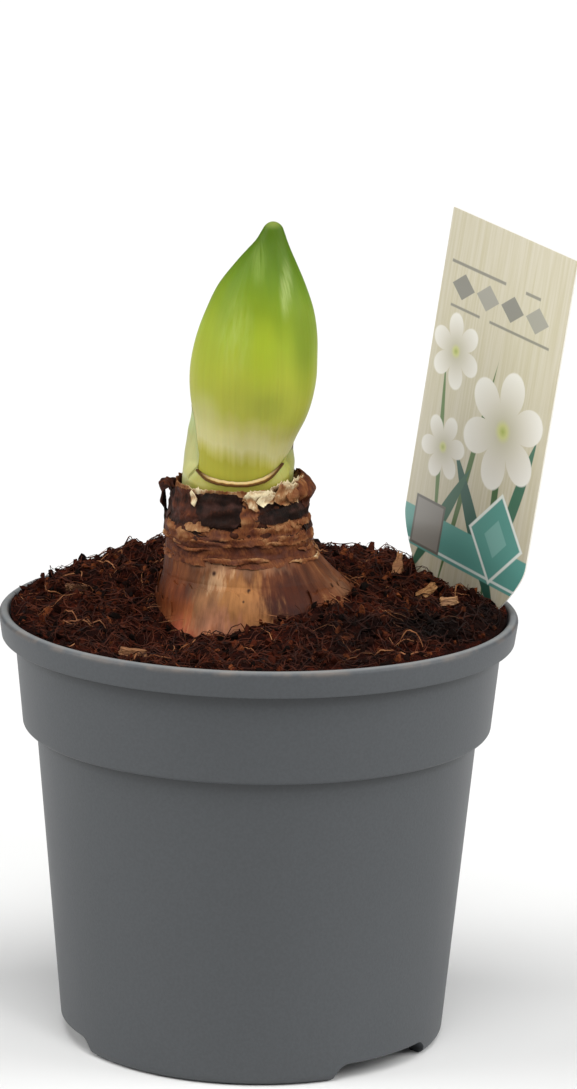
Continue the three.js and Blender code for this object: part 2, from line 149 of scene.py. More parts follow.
# Stretches of the bulb's side, and the steps in each: coarse below the mix and fine above it.
BULB_ROWS = ((47.5, 93.7, 21), (96, 127.8, 53), (128.5, 139.5, 10))
CUP_RADIUS = 14.7
CUP_FLOOR = 126
BUD_RINGS = (
    (126.3, 6, -5.5),
    (132, 9.4, -5.6),
    (139, 11.5, -5.6),
    (148.4, 11.9, -5),
    (153, 12.5, -4.2),
    (158.2, 13.9, -3.1),
    (162.5, 15, -2.8),
    (168, 15.65, -2.5),
    (173.3, 15.5, -2.2),
    (179.3, 14.75, -1.6),
    (185.3, 13.2, -1),
    (191.3, 10.8, -0.6),
    (197.3, 7.3, 0.35),
    (200.3, 5.35, 0.95),
    (202.6, 3.9, 1.5),
    (204.6, 2.95, 1.75),
    (205.8, 2.4, 1.85),
)
BUD_TIP_HEIGHT = 207.3
BUD_TIP_START = 34
BUD_ROWS = 96
BUD_DEPTH = 0.88
BUD_ROUND_BELOW = 150
BUD_FLAT_ABOVE = 165

# The leaves and the cut scale round the foot of the bud.
LEAF_FOOT = 126.3
LEAF_GAP = 0.4
LEAF_THICKNESS = 2.1
LEAF_EDGE_THICKNESS = 0.9
LEAF_ROWS = 44
LEAF_RIM_HEIGHT = 146.5
LEAF_HUG_HEIGHT = 139
# Leaves: angles, the tip's angle, how wide the tip is, its height, and the thickness.
LEAVES = {
    "leaf_left": (-176, -62, -94, 26, 161, LEAF_THICKNESS),
    "leaf_right": (58, 180, 92, 34, 151.6, 1.2),
}
CUT_DIP = 143.9
CUT_START, CUT_END = -61, 57
CUT_RISE_LEFT, CUT_RISE_RIGHT = 2.1, 4.3
CUT_OVERLAP = 7
CUT_COLUMNS, CUT_ROWS, CUT_ACROSS = 80, 48, 8

# The papery tunic round the neck.
NECK_RADIUS = 18.5
TUNIC_FOOT = 129.8
UPPER_BAND_FOOT = 125.6
TUNIC_SEED = 5

# Fibres on the bulb and on the bud: where their axis stands along X, and how far from it they are.
BULB_FIBRES = (-2, 24)
BUD_FIBRES = (-1.5, 14)

# Shades on the bulb's skin: angle, height, size, strength and colour. One is a painted highlight. Their
# edges stray by less than SKIN_STRAY. Dark spots: angle, height, size.
BULB_PATCHES = (
    (-76, 116, (9, 12, 14), 0.9, "4b210a"),
    (-52, 115, (9, 10, 10), 0.85, "642d10"),
    (-40, 122, (9, 9, 5), 0.8, "65391d"),
    (-40, 110, (8, 9, 8), 0.85, "98552f"),
    (-46, 107.5, (8, 8, 6), 0.75, "8f4430"),
    (-28, 116, (7, 8, 11), 0.8, "996a44"),
    (-22, 111.5, (9, 9, 6), 0.65, "ae765a"),
    (-8, 118, (8, 8, 10), 0.9, "9c6a3d"),
    (1, 113, (8, 8, 7), 0.85, "9a683e"),
    # A painted highlight: a pale streak on the front of the bulb, left of the middle.
    (-19, 121, (3.4, 6, 7), 0.75, "b7916c"),
    (21, 116, (9, 11, 10), 1.0, "371104"),
    (36, 119, (10, 10, 9), 0.95, "401804"),
    (58, 121, (9, 9, 6), 0.7, "58331f"),
    (70, 117, (6, 8, 8), 0.7, "78543c"),
    (0, 124, (22, 9, 2.4), 0.75, "8e6448"),
)
SKIN_STRAY = 8.0
BULB_SPOTS = ((-21.5, 122.3, 0.8), (0, 119, 0.7), (-5.7, 116.4, 0.5), (14, 113, 0.5))

# Loose flaps of the bulb's skin: angles, heights and how far they stand off. The cells of flaps and of
# paper are this many degrees wide and this many millimetres high.
FLAKE_CELL = (1.2, 0.5)
PAPER_CELL = (1.1, 0.35)
BULB_FLAKES = (
    (-178, 178, 119, 124.9, 0.2),
    (-60, 8, 103, 118.5, 0.4),
    (38, 86, 102, 118, 0.9),
    (8, 44, 102, 112.5, 0.5),
    (-96, -56, 101, 114, 0.6),
    (84, 150, 101, 116, 0.6),
    (152, 215, 101, 114, 0.5),
    (212, 262, 101, 117, 0.6),
)

# The torn pieces of the tunic: angles, heights, how far they stand off, tone, and what else they do.
COLLAR_PANELS = [
    ((-178, 178, 130.2, 141.2, 0.25, 0.22), {}),
    ((-165, -80, 140, 142.4, -0.7, 0.55), {}),
    ((-84, -40, 139.9, 142.4, -0.5, 0.74), {"tear": 0.7}),
    ((84, 155, 140, 143.6, -0.6, 0.7), {"flare": 0.6}),
    ((-72, -32, 131.8, 141.9, 0.5, 0.32), {"bulge": 0.2}),
    ((-35, 7, 133.8, 142.0, 0.85, 0.12), {"tear": 0.3, "bulge": 0.2, "crease": 0.6}),
    ((2, 19, 133.2, 140.4, 0.7, 0.6), {"bulge": 0.3}),
    ((15, 86, 134.8, 138.4, 0.95, 0.1), {"slant": 0.02, "tear": 0.35, "bulge": 0.2, "crease": 0.6}),
    ((60, 112, 131, 141.2, 0.5, 0.25), {}),
    ((105, 170, 131, 142.2, 0.5, 0.3), {}),
    ((-170, -120, 131.5, 142, 0.55, 0.3), {}),
    ((-125, -72, 131, 141.4, 0.3, 0.24), {"crease": 0.6}),
    ((-41, -35, 138.6, 142.0, 1.1, 0.78), {"tear": 0.3, "slant": -0.2}),
]
BAND_SCRAPS = [
    ((-30, 62, 131.0, 133.7, 0.6, 0.6), {"bulge": 0.2, "wander": 1.2}),
    ((-46, -22, 132.2, 134.2, 0.85, 0.72), {"tear": 0.8}),
    ((24, 58, 133.2, 135.0, 0.85, 0.66), {"tear": 0.8}),
    ((56, 88, 132.8, 134.8, 0.7, 0.56), {"tear": 0.8}),
    ((-92, -34, 129.4, 132.8, 0.5, 0.56), {"bulge": 0.2, "wander": 1.2}),
    ((-60, 34, 129.2, 131.0, 0.5, 0.5), {"bulge": 0.15, "wander": 1.2}),
    ((10, 96, 128.8, 131.2, 0.5, 0.54), {"bulge": 0.2, "wander": 1.2}),
]
LEFT_STRIP = [
    ((-112, -72, 139.8, 142.9, 0.6, 0.24), {"flare": 2.9, "curl": 1.8, "tear": 0.3, "crease": 0.5}),
    ((-106, -78, 139.6, 142.8, 0.4, 0.36), {"flare": 1.8, "curl": 1.0, "tear": 0.4}),
    ((-97, -88, 127.4, 141.0, 0.3, 0.24), {"tear": 0.1, "flare": 2.3, "crease": 0.3}),
    ((-94, -90, 129.4, 140.4, 0.7, 0.16), {"tear": 0.1, "flare": 2.0, "crease": 0.3}),
]
RIGHT_STRIP = [
    ((60, 124, 137.4, 144.2, 0.6, 0.46), {"bulge": 2.6, "flare": -0.9, "tear": 0.3, "crease": 0.6}),
    ((52, 104, 138.6, 144.0, 0.5, 0.56), {"bulge": 1.9, "flare": -0.7, "tear": 0.5, "crease": 0.8}),
    ((46, 84, 139.4, 142.6, 0.9, 0.62), {"bulge": 0.9, "tear": 0.6}),
    ((66, 96, 136.4, 140.4, 0.9, 0.36), {"bulge": 0.5, "tear": 0.4}),
]
NECK_SCRAPS = [
    ((-50, 44, 139.9, 142.4, -0.6, 0.78), {"tear": 0.6}),
    ((5, 36, 139.4, 142.8, 1.15, 0.91), {"tear": 0.9}),
    ((7, 17, 138.4, 141.6, 1.5, 0.9), {"slant": -0.3, "tear": 0.5}),
    ((17, 30, 139.3, 142, 1.4, 0.88), {"slant": 0.04, "tear": 0.7}),
    ((32, 64, 138.6, 143.8, 0.9, 0.78), {"flare": 0.5, "tear": 0.9}),
    ((44, 60, 139.6, 142, 1.3, 0.64), {"tear": 0.8}),
    ((30, 88, 140.8, 144.4, -0.4, 0.82), {"flare": 0.6, "tear": 0.8}),
]

# The label. Zero is the level of the potting mix, in the middle of the label's width. Its sides bow
# back, most of all at one height.
LABEL_WIDTH = 50
LABEL_LENGTH = 142
LABEL_STRAIGHT = 79
LABEL_ABOVE_MIX = 95
LABEL_SHOULDER = 86
LABEL_EDGE_ROUND = 0.12
STAKE_TOP = 104
STAKE_HALF_WIDTH = 7
STAKE_FOOT_HALF_WIDTH = 5
STAKE_POINT = 7
LABEL_BOW = 0.9
LABEL_BOW_HEIGHT = 50
LABEL_BOW_SPREAD = 60
LABEL_TURN = Euler((math.radians(4.3), math.radians(7.4), math.radians(-54)), "ZYX")
LABEL_PLACE = Matrix.Translation((49.5, 14, 110.4)) @ LABEL_TURN.to_matrix().to_4x4()

# The bark chips: place, length, width, turn and tilt.
CHIPS = (
    ((35, 24), 10, 3, 80, -42),
    ((42, 3), 5.2, 3, 8, -36),
    ((47.4, -4.4), 4.2, 2.2, -12, -8),
    ((-46, 8), 7, 2.4, 55, 14),
    ((-30, -42), 6, 2.6, 10, 8),
    ((-14, 48), 8, 3.4, -35, 10),
)
CHIP_THICKNESS = 2
CHIP_RISE = 0.5
CHIP_PATCHES = (
    ((35, 24, 113), (9, 9, 11), 0.7, "774a2a"),
    ((47.4, -4.4, 112), (4, 5, 5), 0.4, "b08c72"),
    ((-46, 8, 112), (9, 9, 9), 0.85, "4c2b1a"),
    ((-30, -42, 108), (9, 9, 9), 0.7, "6b4128"),
)

# The lights: angle round the pot, elevation, the width of the disc, and the setting for its strength.
LIGHTS = {
    "left_light": (-82, 32, 40, "side_light"),
    "right_light": (82, 32, 40, "side_light"),
    "top_light": (0, 62, 36, "top_light"),
    "front_light": (30, 38, 12, "front_light"),
}

# The camera, fitted to the photograph's frame of 577 by 1089 pixels.
FRAME_HEIGHT = 1089
FOCAL_PIXELS = 4804
SENSOR = 36
CAMERA_AIM = Vector((7.1, 0, 125.9))
CAMERA_DISTANCE = 1.2
CAMERA_ELEVATION = 12.72
CAMERA_ROLL = 1.1


def linear(code):
    """The linear colour of an sRGB hex value."""
    parts = [int(code[k : k + 2], 16) / 255 for k in (0, 2, 4)]
    return [c / 12.92 if c <= 0.04045 else ((c + 0.055) / 1.055) ** 2.4 for c in parts] + [1]


def colour(name, text, code):
    """A colour that the user can change."""
    return FloatVectorProperty(
        name=name, description=text, subtype="COLOR", size=4, min=0, max=1, default=linear(code)
    )


def lerp(low, high, part):
    return low + (high - low) * part


def smoothstep(value, low, high):
    part = min(max((value - low) / (high - low), 0), 1)
    return part * part * (3 - 2 * part)


def hump(value, middle, spread):
    """1 at the middle, and falling off round it."""
    return math.exp(-(((value - middle) / spread) ** 2))


def wave(x, y, z=0.0):
    """Smooth noise between about -1 and 1, with a period of about 1."""
    return noise.noise(Vector((x, y, z)))


def around(degrees):
    """The direction at an angle round the Z axis."""
    angle = math.radians(degrees)
    return Vector((math.sin(angle), -math.cos(angle), 0))


def degrees_of(point, middle=0):
    """The angle of a point round the Z axis, within half a turn of the middle angle."""
    found = math.degrees(math.atan2(point.x, -point.y))
    return (found - middle + 180) % 360 - 180 + middle


def ring_at(rings, z):
    """The radius and the centre of a ringed shape at a height, on a smooth curve through its rings."""
    if z <= rings[0][0]:
        return rings[0][1:]
    if z >= rings[-1][0]:
        return rings[-1][1:]
    low = max(k for k, ring in enumerate(rings) if ring[0] <= z)
    before, after = max(low - 1, 0), min(low + 2, len(rings) - 1)
    span = rings[low + 1][0] - rings[low][0]
    part = (z - rings[low][0]) / span
    found = []
    for axis in (1, 2):
        start, end = rings[low][axis], rings[low + 1][axis]
        leaving = (end - rings[before][axis]) / (rings[low + 1][0] - rings[before][0]) * span
        arriving = (rings[after][axis] - start) / (rings[after][0] - rings[low][0]) * span
        found.append(
            start * (2 * part**3 - 3 * part**2 + 1)
            + leaving * (part**3 - 2 * part**2 + part)
            + end * (3 * part**2 - 2 * part**3)
            + arriving * (part**3 - part**2)
        )
    return found


def on_bulb(degrees, z, away=0):
    """A point of the bulb's skin, or one that stands off it."""
    radius, centre = ring_at(BULB_RINGS, z)
    return around(degrees) * (radius + away) + Vector((centre, 0, z))


def arc(centre, radius, start, end, steps=7):
    """Points of a round stretch of an outline."""
    angles = [math.radians(lerp(start, end, k / steps)) for k in range(steps + 1)]
    return [(centre[0] + radius * math.cos(a), centre[1] + radius * math.sin(a)) for a in angles]


def chain(bm, points, closed=False):
    """Vertices joined by edges, one after another."""
    verts = [bm.verts.new(point) for point in points]
    edges = [bm.edges.new(pair) for pair in zip(verts, verts[1:] + verts[:1] * closed)]
    return verts + edges


def turned(outline, slices):
    """An outline of (radius, height) points turned once round the Z axis."""
    bm = bmesh.new()
    profile = chain(bm, [(0, -radius, height) for radius, height in outline])
    bmesh.ops.spin(bm, geom=profile, axis=(0, 0, 1), angle=math.tau, steps=slices, use_merge=True)
    bmesh.ops.remove_doubles(bm, verts=bm.verts, dist=0.0005)
    bmesh.ops.recalc_face_normals(bm, faces=bm.faces)
    return bm


def sheet(start, end, columns, rows, place, across=1):
    """A skin wrapped round the Z axis: a closed section spun from one angle to another and then laid
    where place(degrees, part, depth) says, which gives a point and its tone. part runs from 0 at the
    foot to 1 at the edge, and depth from 0 inside to 1 outside. The skin attribute keeps millimetres
    along and up, and part."""
    bm = bmesh.new()
    tones = bm.verts.layers.float.new("tone")
    skin = bm.verts.layers.float_vector.new("skin")
    heights = [row / rows for row in range(rows + 1)]
    section = [(part, 1) for part in heights]
    section += [(1, 1 - step / across) for step in range(1, across)]
    section += [(part, 0) for part in reversed(heights)]
    spindle = 10
    points = [around(start) * (spindle + depth) + Vector((0, 0, part)) for part, depth in section]
    ring = chain(bm, points, closed=True)
    bmesh.ops.spin(bm, geom=ring, axis=(0, 0, 1), angle=math.radians(end - start), steps=columns)
    bmesh.ops.holes_fill(bm, edges=[e for e in bm.edges if e.is_boundary], sides=0)
    for v in bm.verts:
        degrees = degrees_of(v.co, (start + end) / 2)
        part, depth = v.co.z, v.co.xy.length - spindle
        v.co, v[tones] = place(degrees, part, depth)
        v[skin] = (math.radians(degrees) * NECK_RADIUS, v.co.z, part)
    bmesh.ops.recalc_face_normals(bm, faces=bm.faces)
    return bm


def extruded(outline, start, end):
    """An outline of (x, z) points drawn out along Y."""
    bm = bmesh.new()
    face = bm.faces.new([bm.verts.new((x, start, z)) for x, z in outline])
    pulled = bmesh.ops.extrude_face_region(bm, geom=[face])["geom"]
    moved = [v for v in pulled if isinstance(v, bmesh.types.BMVert)]
    bmesh.ops.translate(bm, vec=(0, end - start, 0), verts=moved)
    bmesh.ops.recalc_face_normals(bm, faces=bm.faces)
    return bm


def linked(name, data):
    """An object with this data, in the scene."""
    made = bpy.data.objects.new(name, data)
    bpy.context.scene.collection.objects.link(made)
    return made


def placed(bm, name, finish=None):
    """A mesh as an object in the scene, with its material."""
    mesh = bpy.data.meshes.new(name)
    bm.to_mesh(mesh)
    bm.free()
    if finish:
        mesh.materials.append(finish)
    return linked(name, mesh)


def evaluated(piece):
    """The mesh that an object shows, with its modifiers or its bevel."""
    shown = piece.evaluated_get(bpy.context.evaluated_depsgraph_get())
    bm = bmesh.new()
    bm.from_mesh(shown.to_mesh())
    shown.to_mesh_clear()
    return bm


def joined(parts):
    """Several meshes as one."""
    whole = bmesh.new()
    whole.verts.layers.float.new("tone")
    whole.verts.layers.float_vector.new("skin")
    for part in parts:
        mesh = bpy.data.meshes.new("part")
        part.to_mesh(mesh)
        part.free()
        whole.from_mesh(mesh)
        bpy.data.meshes.remove(mesh)
    return whole


def carved(bm, tools):
    """A mesh cut by other closed meshes."""
    body, tool = placed(bm, "body"), placed(joined(tools), "tools")
    cut = body.modifiers.new("cut", "BOOLEAN")
    cut.object = tool
    cut.operation = "DIFFERENCE"
    cut.solver = "EXACT"
    result = evaluated(body)
    for piece in (body, tool):
        bpy.data.meshes.remove(piece.data)
    return result


def finish_piece(bm, name, finish, slot, replaces=None, sharp=40):
    """Moves a mesh into the frame as a named piece with its material, under the root body. The slot
    that it is given is not used.
    """
    bmesh.ops.transform(bm, matrix=INTO_FRAME, verts=bm.verts)
    piece = placed(bm, name, finish)
    piece.data.shade_smooth()
    piece.data.set_sharp_from_angle(angle=math.radians(sharp))
    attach(piece, "root")
    if replaces:
        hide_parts(replaces)


def add(tree, kind, inputs=None, out=None, **settings):
    """Adds a shader node. inputs gives each input a number, a hex colour or another node's output.
    The answer is the output named out, or else the first one in use."""
    made = tree.nodes.new("ShaderNode" + kind)
    stops = settings.pop("stops", None)
    for name, value in settings.items():
        setattr(made, name, value)
    if stops:
        elements = made.color_ramp.elements
        elements.remove(elements[1])
        for index, (place, code) in enumerate(stops):
            stop = elements.new(place) if index else elements[0]
            stop.position = place
            stop.color = linear(code)
    for key, value in (inputs or {}).items():
        named = [s for s in made.inputs if s.enabled and key in (s.name, s.identifier)]
        socket = made.inputs[key] if isinstance(key, int) else named[0]
        if isinstance(value, bpy.types.NodeSocket):
            tree.links.new(value, socket)
        else:
            socket.default_value = linear(value) if isinstance(value, str) else value
    return made.outputs[out] if out else next((s for s in made.outputs if s.enabled), None)


def finish_of(name, build, **constants):
    """A material: build adds the nodes and says which of them feed the shader, and the rest is set."""
    made = bpy.data.materials.new(name)
    made.use_nodes = True
    tree = made.node_tree
    tree.nodes.clear()
    constants = {key.replace("_", " "): value for key, value in constants.items()}
    shader = add(tree, "BsdfPrincipled", {**constants, **build(tree)})
    add(tree, "OutputMaterial", {"Surface": shader})
    return made


def in_millimetres(tree):
    """Object coordinates in millimetres."""
    place = add(tree, "TexCoord", out="Object")
    return add(tree, "VectorMath", {0: place, "Scale": 1 / MM}, operation="SCALE")


def grain(tree, place, size, detail=2.0, offset=0.0, spread=None, to=(0.0, 1.0), **shape):
    """Noise whose features have this size in millimetres, as one number or along X, Y and Z. The two
    levels in spread, if there are any, become the two values in to."""
    sizes = size if isinstance(size, tuple) else (size, size, size)
    scaled = add(
        tree,
        "Mapping",
        {"Vector": place, "Scale": [1 / part for part in sizes], "Location": (offset, offset, 0)},
    )
    level = add(tree, "TexNoise", {"Vector": scaled, "Scale": 1.0, "Detail": detail, **shape})
    if not spread:
        return level
    ends = {"From Min": spread[0], "From Max": spread[1], "To Min": to[0], "To Max": to[1]}
    return add(tree, "MapRange", {"Value": level, **ends})


def blended(tree, base, *patterns):
    """A number with patterns added to it, each by its weight."""
    for pattern, weight in patterns:
        base = add(tree, "Math", {0: pattern, 1: weight, 2: base}, operation="MULTIPLY_ADD")
    return base


def patch(tree, place, spot, size):
    """1 at a spot round the pot's axis, and falling to 0 at this size in millimetres along each axis."""
    centre = (INTO_FRAME @ Vector(spot)) / MM
    away = add(tree, "VectorMath", {0: place, 1: centre}, operation="SUBTRACT")
    away = add(tree, "VectorMath", {0: away, 1: [1 / part for part in size]}, operation="MULTIPLY")
    away = add(tree, "VectorMath", {0: away}, out="Value", operation="LENGTH")
    bounds = {"Value": away, "From Min": 1.0, "From Max": 0.2}
    return add(tree, "MapRange", bounds, interpolation_type="SMOOTHSTEP")


def patched(tree, place, base, patches):
    """A shade with patches over it: the place of each round the pot's axis, its size, its strength and
    its colour."""
    for spot, size, amount, code in patches:
        near = patch(tree, place, spot, size)
        near = add(tree, "Math", {0: near, 1: amount}, operation="MULTIPLY")
        base = add(tree, "Mix", {"Factor": near, "A": base, "B": code}, data_type="RGBA")
    return base


def pot_outline():
    """The pot's section: from the underside of its floor, round the outside and the rim, and inside."""
    return [
        (0, FLOOR_UNDERSIDE),
        (FOOT_INNER_RADIUS - 0.8, FLOOR_UNDERSIDE),
        (FOOT_INNER_RADIUS - 0.1, 0.4),
        (FOOT_INNER_RADIUS + 0.3, 0),
        *arc((BODY_FOOT_RADIUS - FOOT_ROUND, FOOT_ROUND), FOOT_ROUND, -90, -5),
        (BODY_TOP_RADIUS, STEP_HEIGHT - 0.6),
        (BODY_TOP_RADIUS + 0.1, STEP_HEIGHT - 0.25),
        (BODY_TOP_RADIUS + 0.4, STEP_HEIGHT - 0.05),
        *arc((COLLAR_FOOT_RADIUS - STEP_ROUND, STEP_HEIGHT + STEP_ROUND), STEP_ROUND, -90, -5),
        (COLLAR_TOP_RADIUS, LIP_BOTTOM),
        (COLLAR_TOP_RADIUS + 0.3, LIP_BOTTOM + CHANNEL_HEIGHT - 1.2),
        (LIP_EDGE_RADIUS - LIP_THICKNESS, LIP_BOTTOM + CHANNEL_HEIGHT),
        (LIP_EDGE_RADIUS - LIP_THICKNESS, LIP_BOTTOM + FILLET),
        *arc((LIP_EDGE_RADIUS - FILLET, LIP_BOTTOM + FILLET), FILLET, -90, 0, 4),
        *arc((RIM_RADIUS - RIM_ROUND, POT_HEIGHT - RIM_ROUND), RIM_ROUND, 0, 180, 12),
        (COLLAR_TOP_RADIUS - WALL, LIP_BOTTOM + 2),
        (COLLAR_FOOT_RADIUS - WALL, STEP_HEIGHT + 1.6),
        (COLLAR_FOOT_RADIUS - WALL - 0.5, STEP_HEIGHT + 1.1),
        (BODY_TOP_RADIUS - WALL, STEP_HEIGHT + 0.6),
        (BODY_FOOT_RADIUS - WALL + 0.3, FLOOR_TOP + 3),
        (BODY_FOOT_RADIUS - WALL - 1.8, FLOOR_TOP),
        (0, FLOOR_TOP),
    ]


def notch_tool(degrees):
    """The inside of one arched notch, which runs out through the foot ring."""
    width = NOTCH_HALF_WIDTH - NOTCH_TOP_HALF_WIDTH
    corner = [(NOTCH_TOP_HALF_WIDTH + width * x, NOTCH_HEIGHT * z) for x, z in arc((0, 0), 1, 20, 90, 6)]
    side = [(NOTCH_HALF_WIDTH + 0.3, -1), (NOTCH_HALF_WIDTH, 0), *corner]
    outline = side + [(-x, z) for x, z in reversed(side)]
    bm = extruded(outline, -NOTCH_START_RADIUS, -NOTCH_START_RADIUS - NOTCH_DEPTH)
    bmesh.ops.rotate(bm, matrix=Matrix.Rotation(math.radians(degrees), 3, "Z"), verts=bm.verts)
    return bm


def drain_tool(index):
    """The inside of one drain hole."""
    bm = bmesh.new()
    place = around(360 * index / DRAIN_HOLES) * DRAIN_CIRCLE_RADIUS + Vector((0, 0, FLOOR_TOP))
    bmesh.ops.create_cone(
        bm,
        cap_ends=True,
        segments=32,
        radius1=DRAIN_HOLE_RADIUS,
        radius2=DRAIN_HOLE_RADIUS,
        depth=6,
        matrix=Matrix.Translation(place),
    )
    return bm


# How far soil is rubbed into the rim and how far its top is worn and painted with a highlight, and the
# painted shade below each ledge: the ledge's height, how far the shade reaches down, and how much it
# darkens.
RUBBED_RIM = 1.6
RIM_WEAR_AND_HIGHLIGHT = 0.5
LEDGE_SHADES = ((LIP_BOTTOM, 3.5, 0.42), (STEP_HEIGHT, 3, 0.45))


def shade_below_ledge(tree, height, ledge, reach, amount):
    """A factor that is 1, but less just below a ledge at this height: painted shade under the ledge."""
    near = add(tree, "MapRange", {"Value": height, "From Min": ledge - reach, "From Max": ledge})
    below = add(tree, "Math", {0: height, 1: ledge}, operation="LESS_THAN")
    near = add(tree, "Math", {0: near, 1: below}, operation="MULTIPLY")
    return add(tree, "Math", {0: near, 1: -amount, 2: 1.0}, operation="MULTIPLY_ADD")


def moulded_polypropylene(pot):
    """Polypropylene with recycled content, injection moulded in a fine-blasted mould: matt, very even,
    with faint specks and cloudy flow marks, worn pale on top of the rim with a painted highlight along
    it, with a little soil rubbed into it, and painted shade below the ledges."""

    def build(tree):
        place = in_millimetres(tree)
        height = add(tree, "SeparateXYZ", {0: place}, out="Z")
        cloud = grain(tree, place, (18, 18, 40), detail=3)
        flecks = grain(tree, place, 0.7, detail=1, spread=(0.35, 0.65), to=(-0.05, 0.05))
        shade = blended(tree, 0.92, (cloud, 0.16), (flecks, 1.0))
        # Painted shade just below the lip and the step.
        for ledge, reach, amount in LEDGE_SHADES:
            ledge_shade = shade_below_ledge(tree, height, ledge, reach, amount)
            shade = add(tree, "Math", {0: shade, 1: ledge_shade}, operation="MULTIPLY")
        plastic = add(tree, "VectorMath", {0: pot.plastic[:3], "Scale": shade}, operation="SCALE")
        rubbed = {"Value": height, "From Min": POT_HEIGHT - RUBBED_RIM, "From Max": POT_HEIGHT}
        rubbed = add(tree, "MapRange", rubbed)
        smear = grain(tree, place, 5, detail=4, offset=9, spread=(0.44, 0.64))
        soil = add(tree, "Math", {0: rubbed, 1: smear}, operation="MULTIPLY")
        base = add(tree, "Mix", {"Factor": soil, "A": plastic, "B": "6a6058"}, data_type="RGBA")
        # Paler on top of the rim: some wear there, and a painted highlight along the edge.
        worn = {"From Min": POT_HEIGHT - RIM_WEAR_AND_HIGHLIGHT, "From Max": POT_HEIGHT - 0.1, "To Max": 0.6}
        worn = add(tree, "MapRange", {"Value": height, **worn})
        base = add(tree, "Mix", {"Factor": worn, "A": base, "B": "8f9293"}, data_type="RGBA")
        rough = {"To Min": pot.roughness - 0.06, "To Max": pot.roughness + 0.08}
        rough = add(tree, "MapRange", {"Value": cloud, **rough})
        mould = grain(tree, place, 0.55, offset=4)
        bump = add(tree, "Bump", {"Height": mould, "Distance": 0.035 * MM})
        return {"Base Color": base, "Roughness": rough, "Normal": bump}

    return finish_of("moulded polypropylene", build, IOR=1.49)


def make_pot(pot):
    tools = [notch_tool(degrees) for degrees in NOTCH_ANGLES]
    tools += [drain_tool(index) for index in range(DRAIN_HOLES)]
    bm = carved(turned(pot_outline(), POT_SLICES), tools)
    finish_piece(bm, "pot_shell", moulded_polypropylene(pot), "pot_plastic", "nursery_pot", sharp=35)


# The rows of the mix's outline that lie on its top or in the room for the bulb, marked by height
# until they are laid in place.
TOP_MARK = 200
ROOM_MARK = 300
ROOM_RADIUS = 30
TOP_ROWS = 62
ROOM_ROWS = 16
BULB_CLEARANCE = 0.15


def mix_height(x, y):
    """The level of the mix, without its crumbs."""
    radius = math.hypot(x, y)
    height = MIX_LEVEL + MIX_SLOPE.dot((x, y)) + MIX_CROWN * (1 - (radius / MIX_RADIUS) ** 2)
    for place, rise, spread in MIX_BUMPS:
        height += rise * math.exp(-0.5 * (math.dist((x, y), place) / spread) ** 2)
    edge = min(max(height, MIX_EDGE[0]), MIX_EDGE[1])
    return lerp(height, edge, smoothstep(radius, MIX_SHOULDER_RADIUS, MIX_RADIUS))


def mix_surface(x, y):
    """The height of the clods on the mix, which are swept off the chips."""
    spot = Vector((x, y, 0))
    clods = CLOD_HEIGHT * (noise.turbulence(spot / CLOD_SIZE, 4, True) - 0.42)
    lumps = LUMP_HEIGHT * wave(x / LUMP_SIZE, y / LUMP_SIZE, 7)
    inside = smoothstep(math.hypot(x, y), MIX_RADIUS, MIX_RADIUS - 3)
    height = lerp(0.4, 1, inside) * (clods + lumps)
    for chip, _, _, _, tilt in CHIPS:
        height = lerp(-0.9 - abs(tilt) / 18, height, smoothstep(math.dist((x, y), chip), 2, 7))
    return mix_height(x, y) + height


def mix_seat(degrees):
    """Where the mix meets the bulb, at an angle round it."""
    spot = Vector((0, 0, MIX_LEVEL))
    for _ in range(3):
        spot = on_bulb(degrees, spot.z, BULB_CLEARANCE)
        spot.z = mix_height(spot.x, spot.y)
    return spot


def mix_body():
    """The filling of the pot, with a cloddy top and room for the bulb."""
    wall = [
        (0, FLOOR_TOP + GAP),
        (BODY_FOOT_RADIUS - WALL - 2 - GAP, FLOOR_TOP + GAP),
        (BODY_FOOT_RADIUS - WALL + 0.2 - GAP, FLOOR_TOP + 3 + GAP),
        (BODY_TOP_RADIUS - WALL - GAP, STEP_HEIGHT + 0.6 + GAP),
        (COLLAR_FOOT_RADIUS - WALL - 0.8 - GAP, STEP_HEIGHT + 1.6 + GAP),
        (COLLAR_TOP_RADIUS - WALL - GAP, LIP_BOTTOM + 2 + GAP),
        (MIX_RADIUS, POT_HEIGHT - 2.2),
    ]
    parts = [k / TOP_ROWS for k in range(TOP_ROWS + 1)]
    top = [(lerp(MIX_RADIUS, ROOM_RADIUS, part), TOP_MARK + part) for part in parts]
    room = [(ROOM_RADIUS, ROOM_MARK + k / ROOM_ROWS) for k in range(1, ROOM_ROWS + 1)]
    bm = turned(wall + top + room + [(0, ROOM_MARK + 1)], MIX_SLICES)
    foot = BULB_RINGS[0]
    for v in bm.verts:
        if v.co.z < TOP_MARK:
            continue
        degrees = degrees_of(v.co)
        seat = mix_seat(degrees)
        if v.co.z < ROOM_MARK:
            rim = around(degrees) * MIX_RADIUS
            part = v.co.z - TOP_MARK
            v.co = rim.lerp(seat, part)
            shown = smoothstep(part, 1, 0.96)
            v.co.z = lerp(seat.z, mix_surface(v.co.x, v.co.y), shown)
        elif v.co.xy.length < 1:
            v.co = (foot[2], 0, foot[0] - BULB_CLEARANCE)
        else:
            z = lerp(seat.z, foot[0] - BULB_CLEARANCE, v.co.z - ROOM_MARK)
            v.co = on_bulb(degrees, z, BULB_CLEARANCE)
    bmesh.ops.recalc_face_normals(bm, faces=bm.faces)
    return bm


def open_mix(x, y, margin):
    """True where the top of the mix is open: clear of the pot's wall and of the bulb."""
    radius, centre = ring_at(BULB_RINGS, mix_height(x, y))
    return math.hypot(x, y) < MIX_RADIUS - margin and math.hypot(x - centre, y) > radius + margin


def anywhere(rng):
    """A place on the mix, as likely in its middle as at its edge."""
    away = math.sqrt(rng.random()) * MIX_RADIUS
    return around(rng.uniform(0, 360)) * away


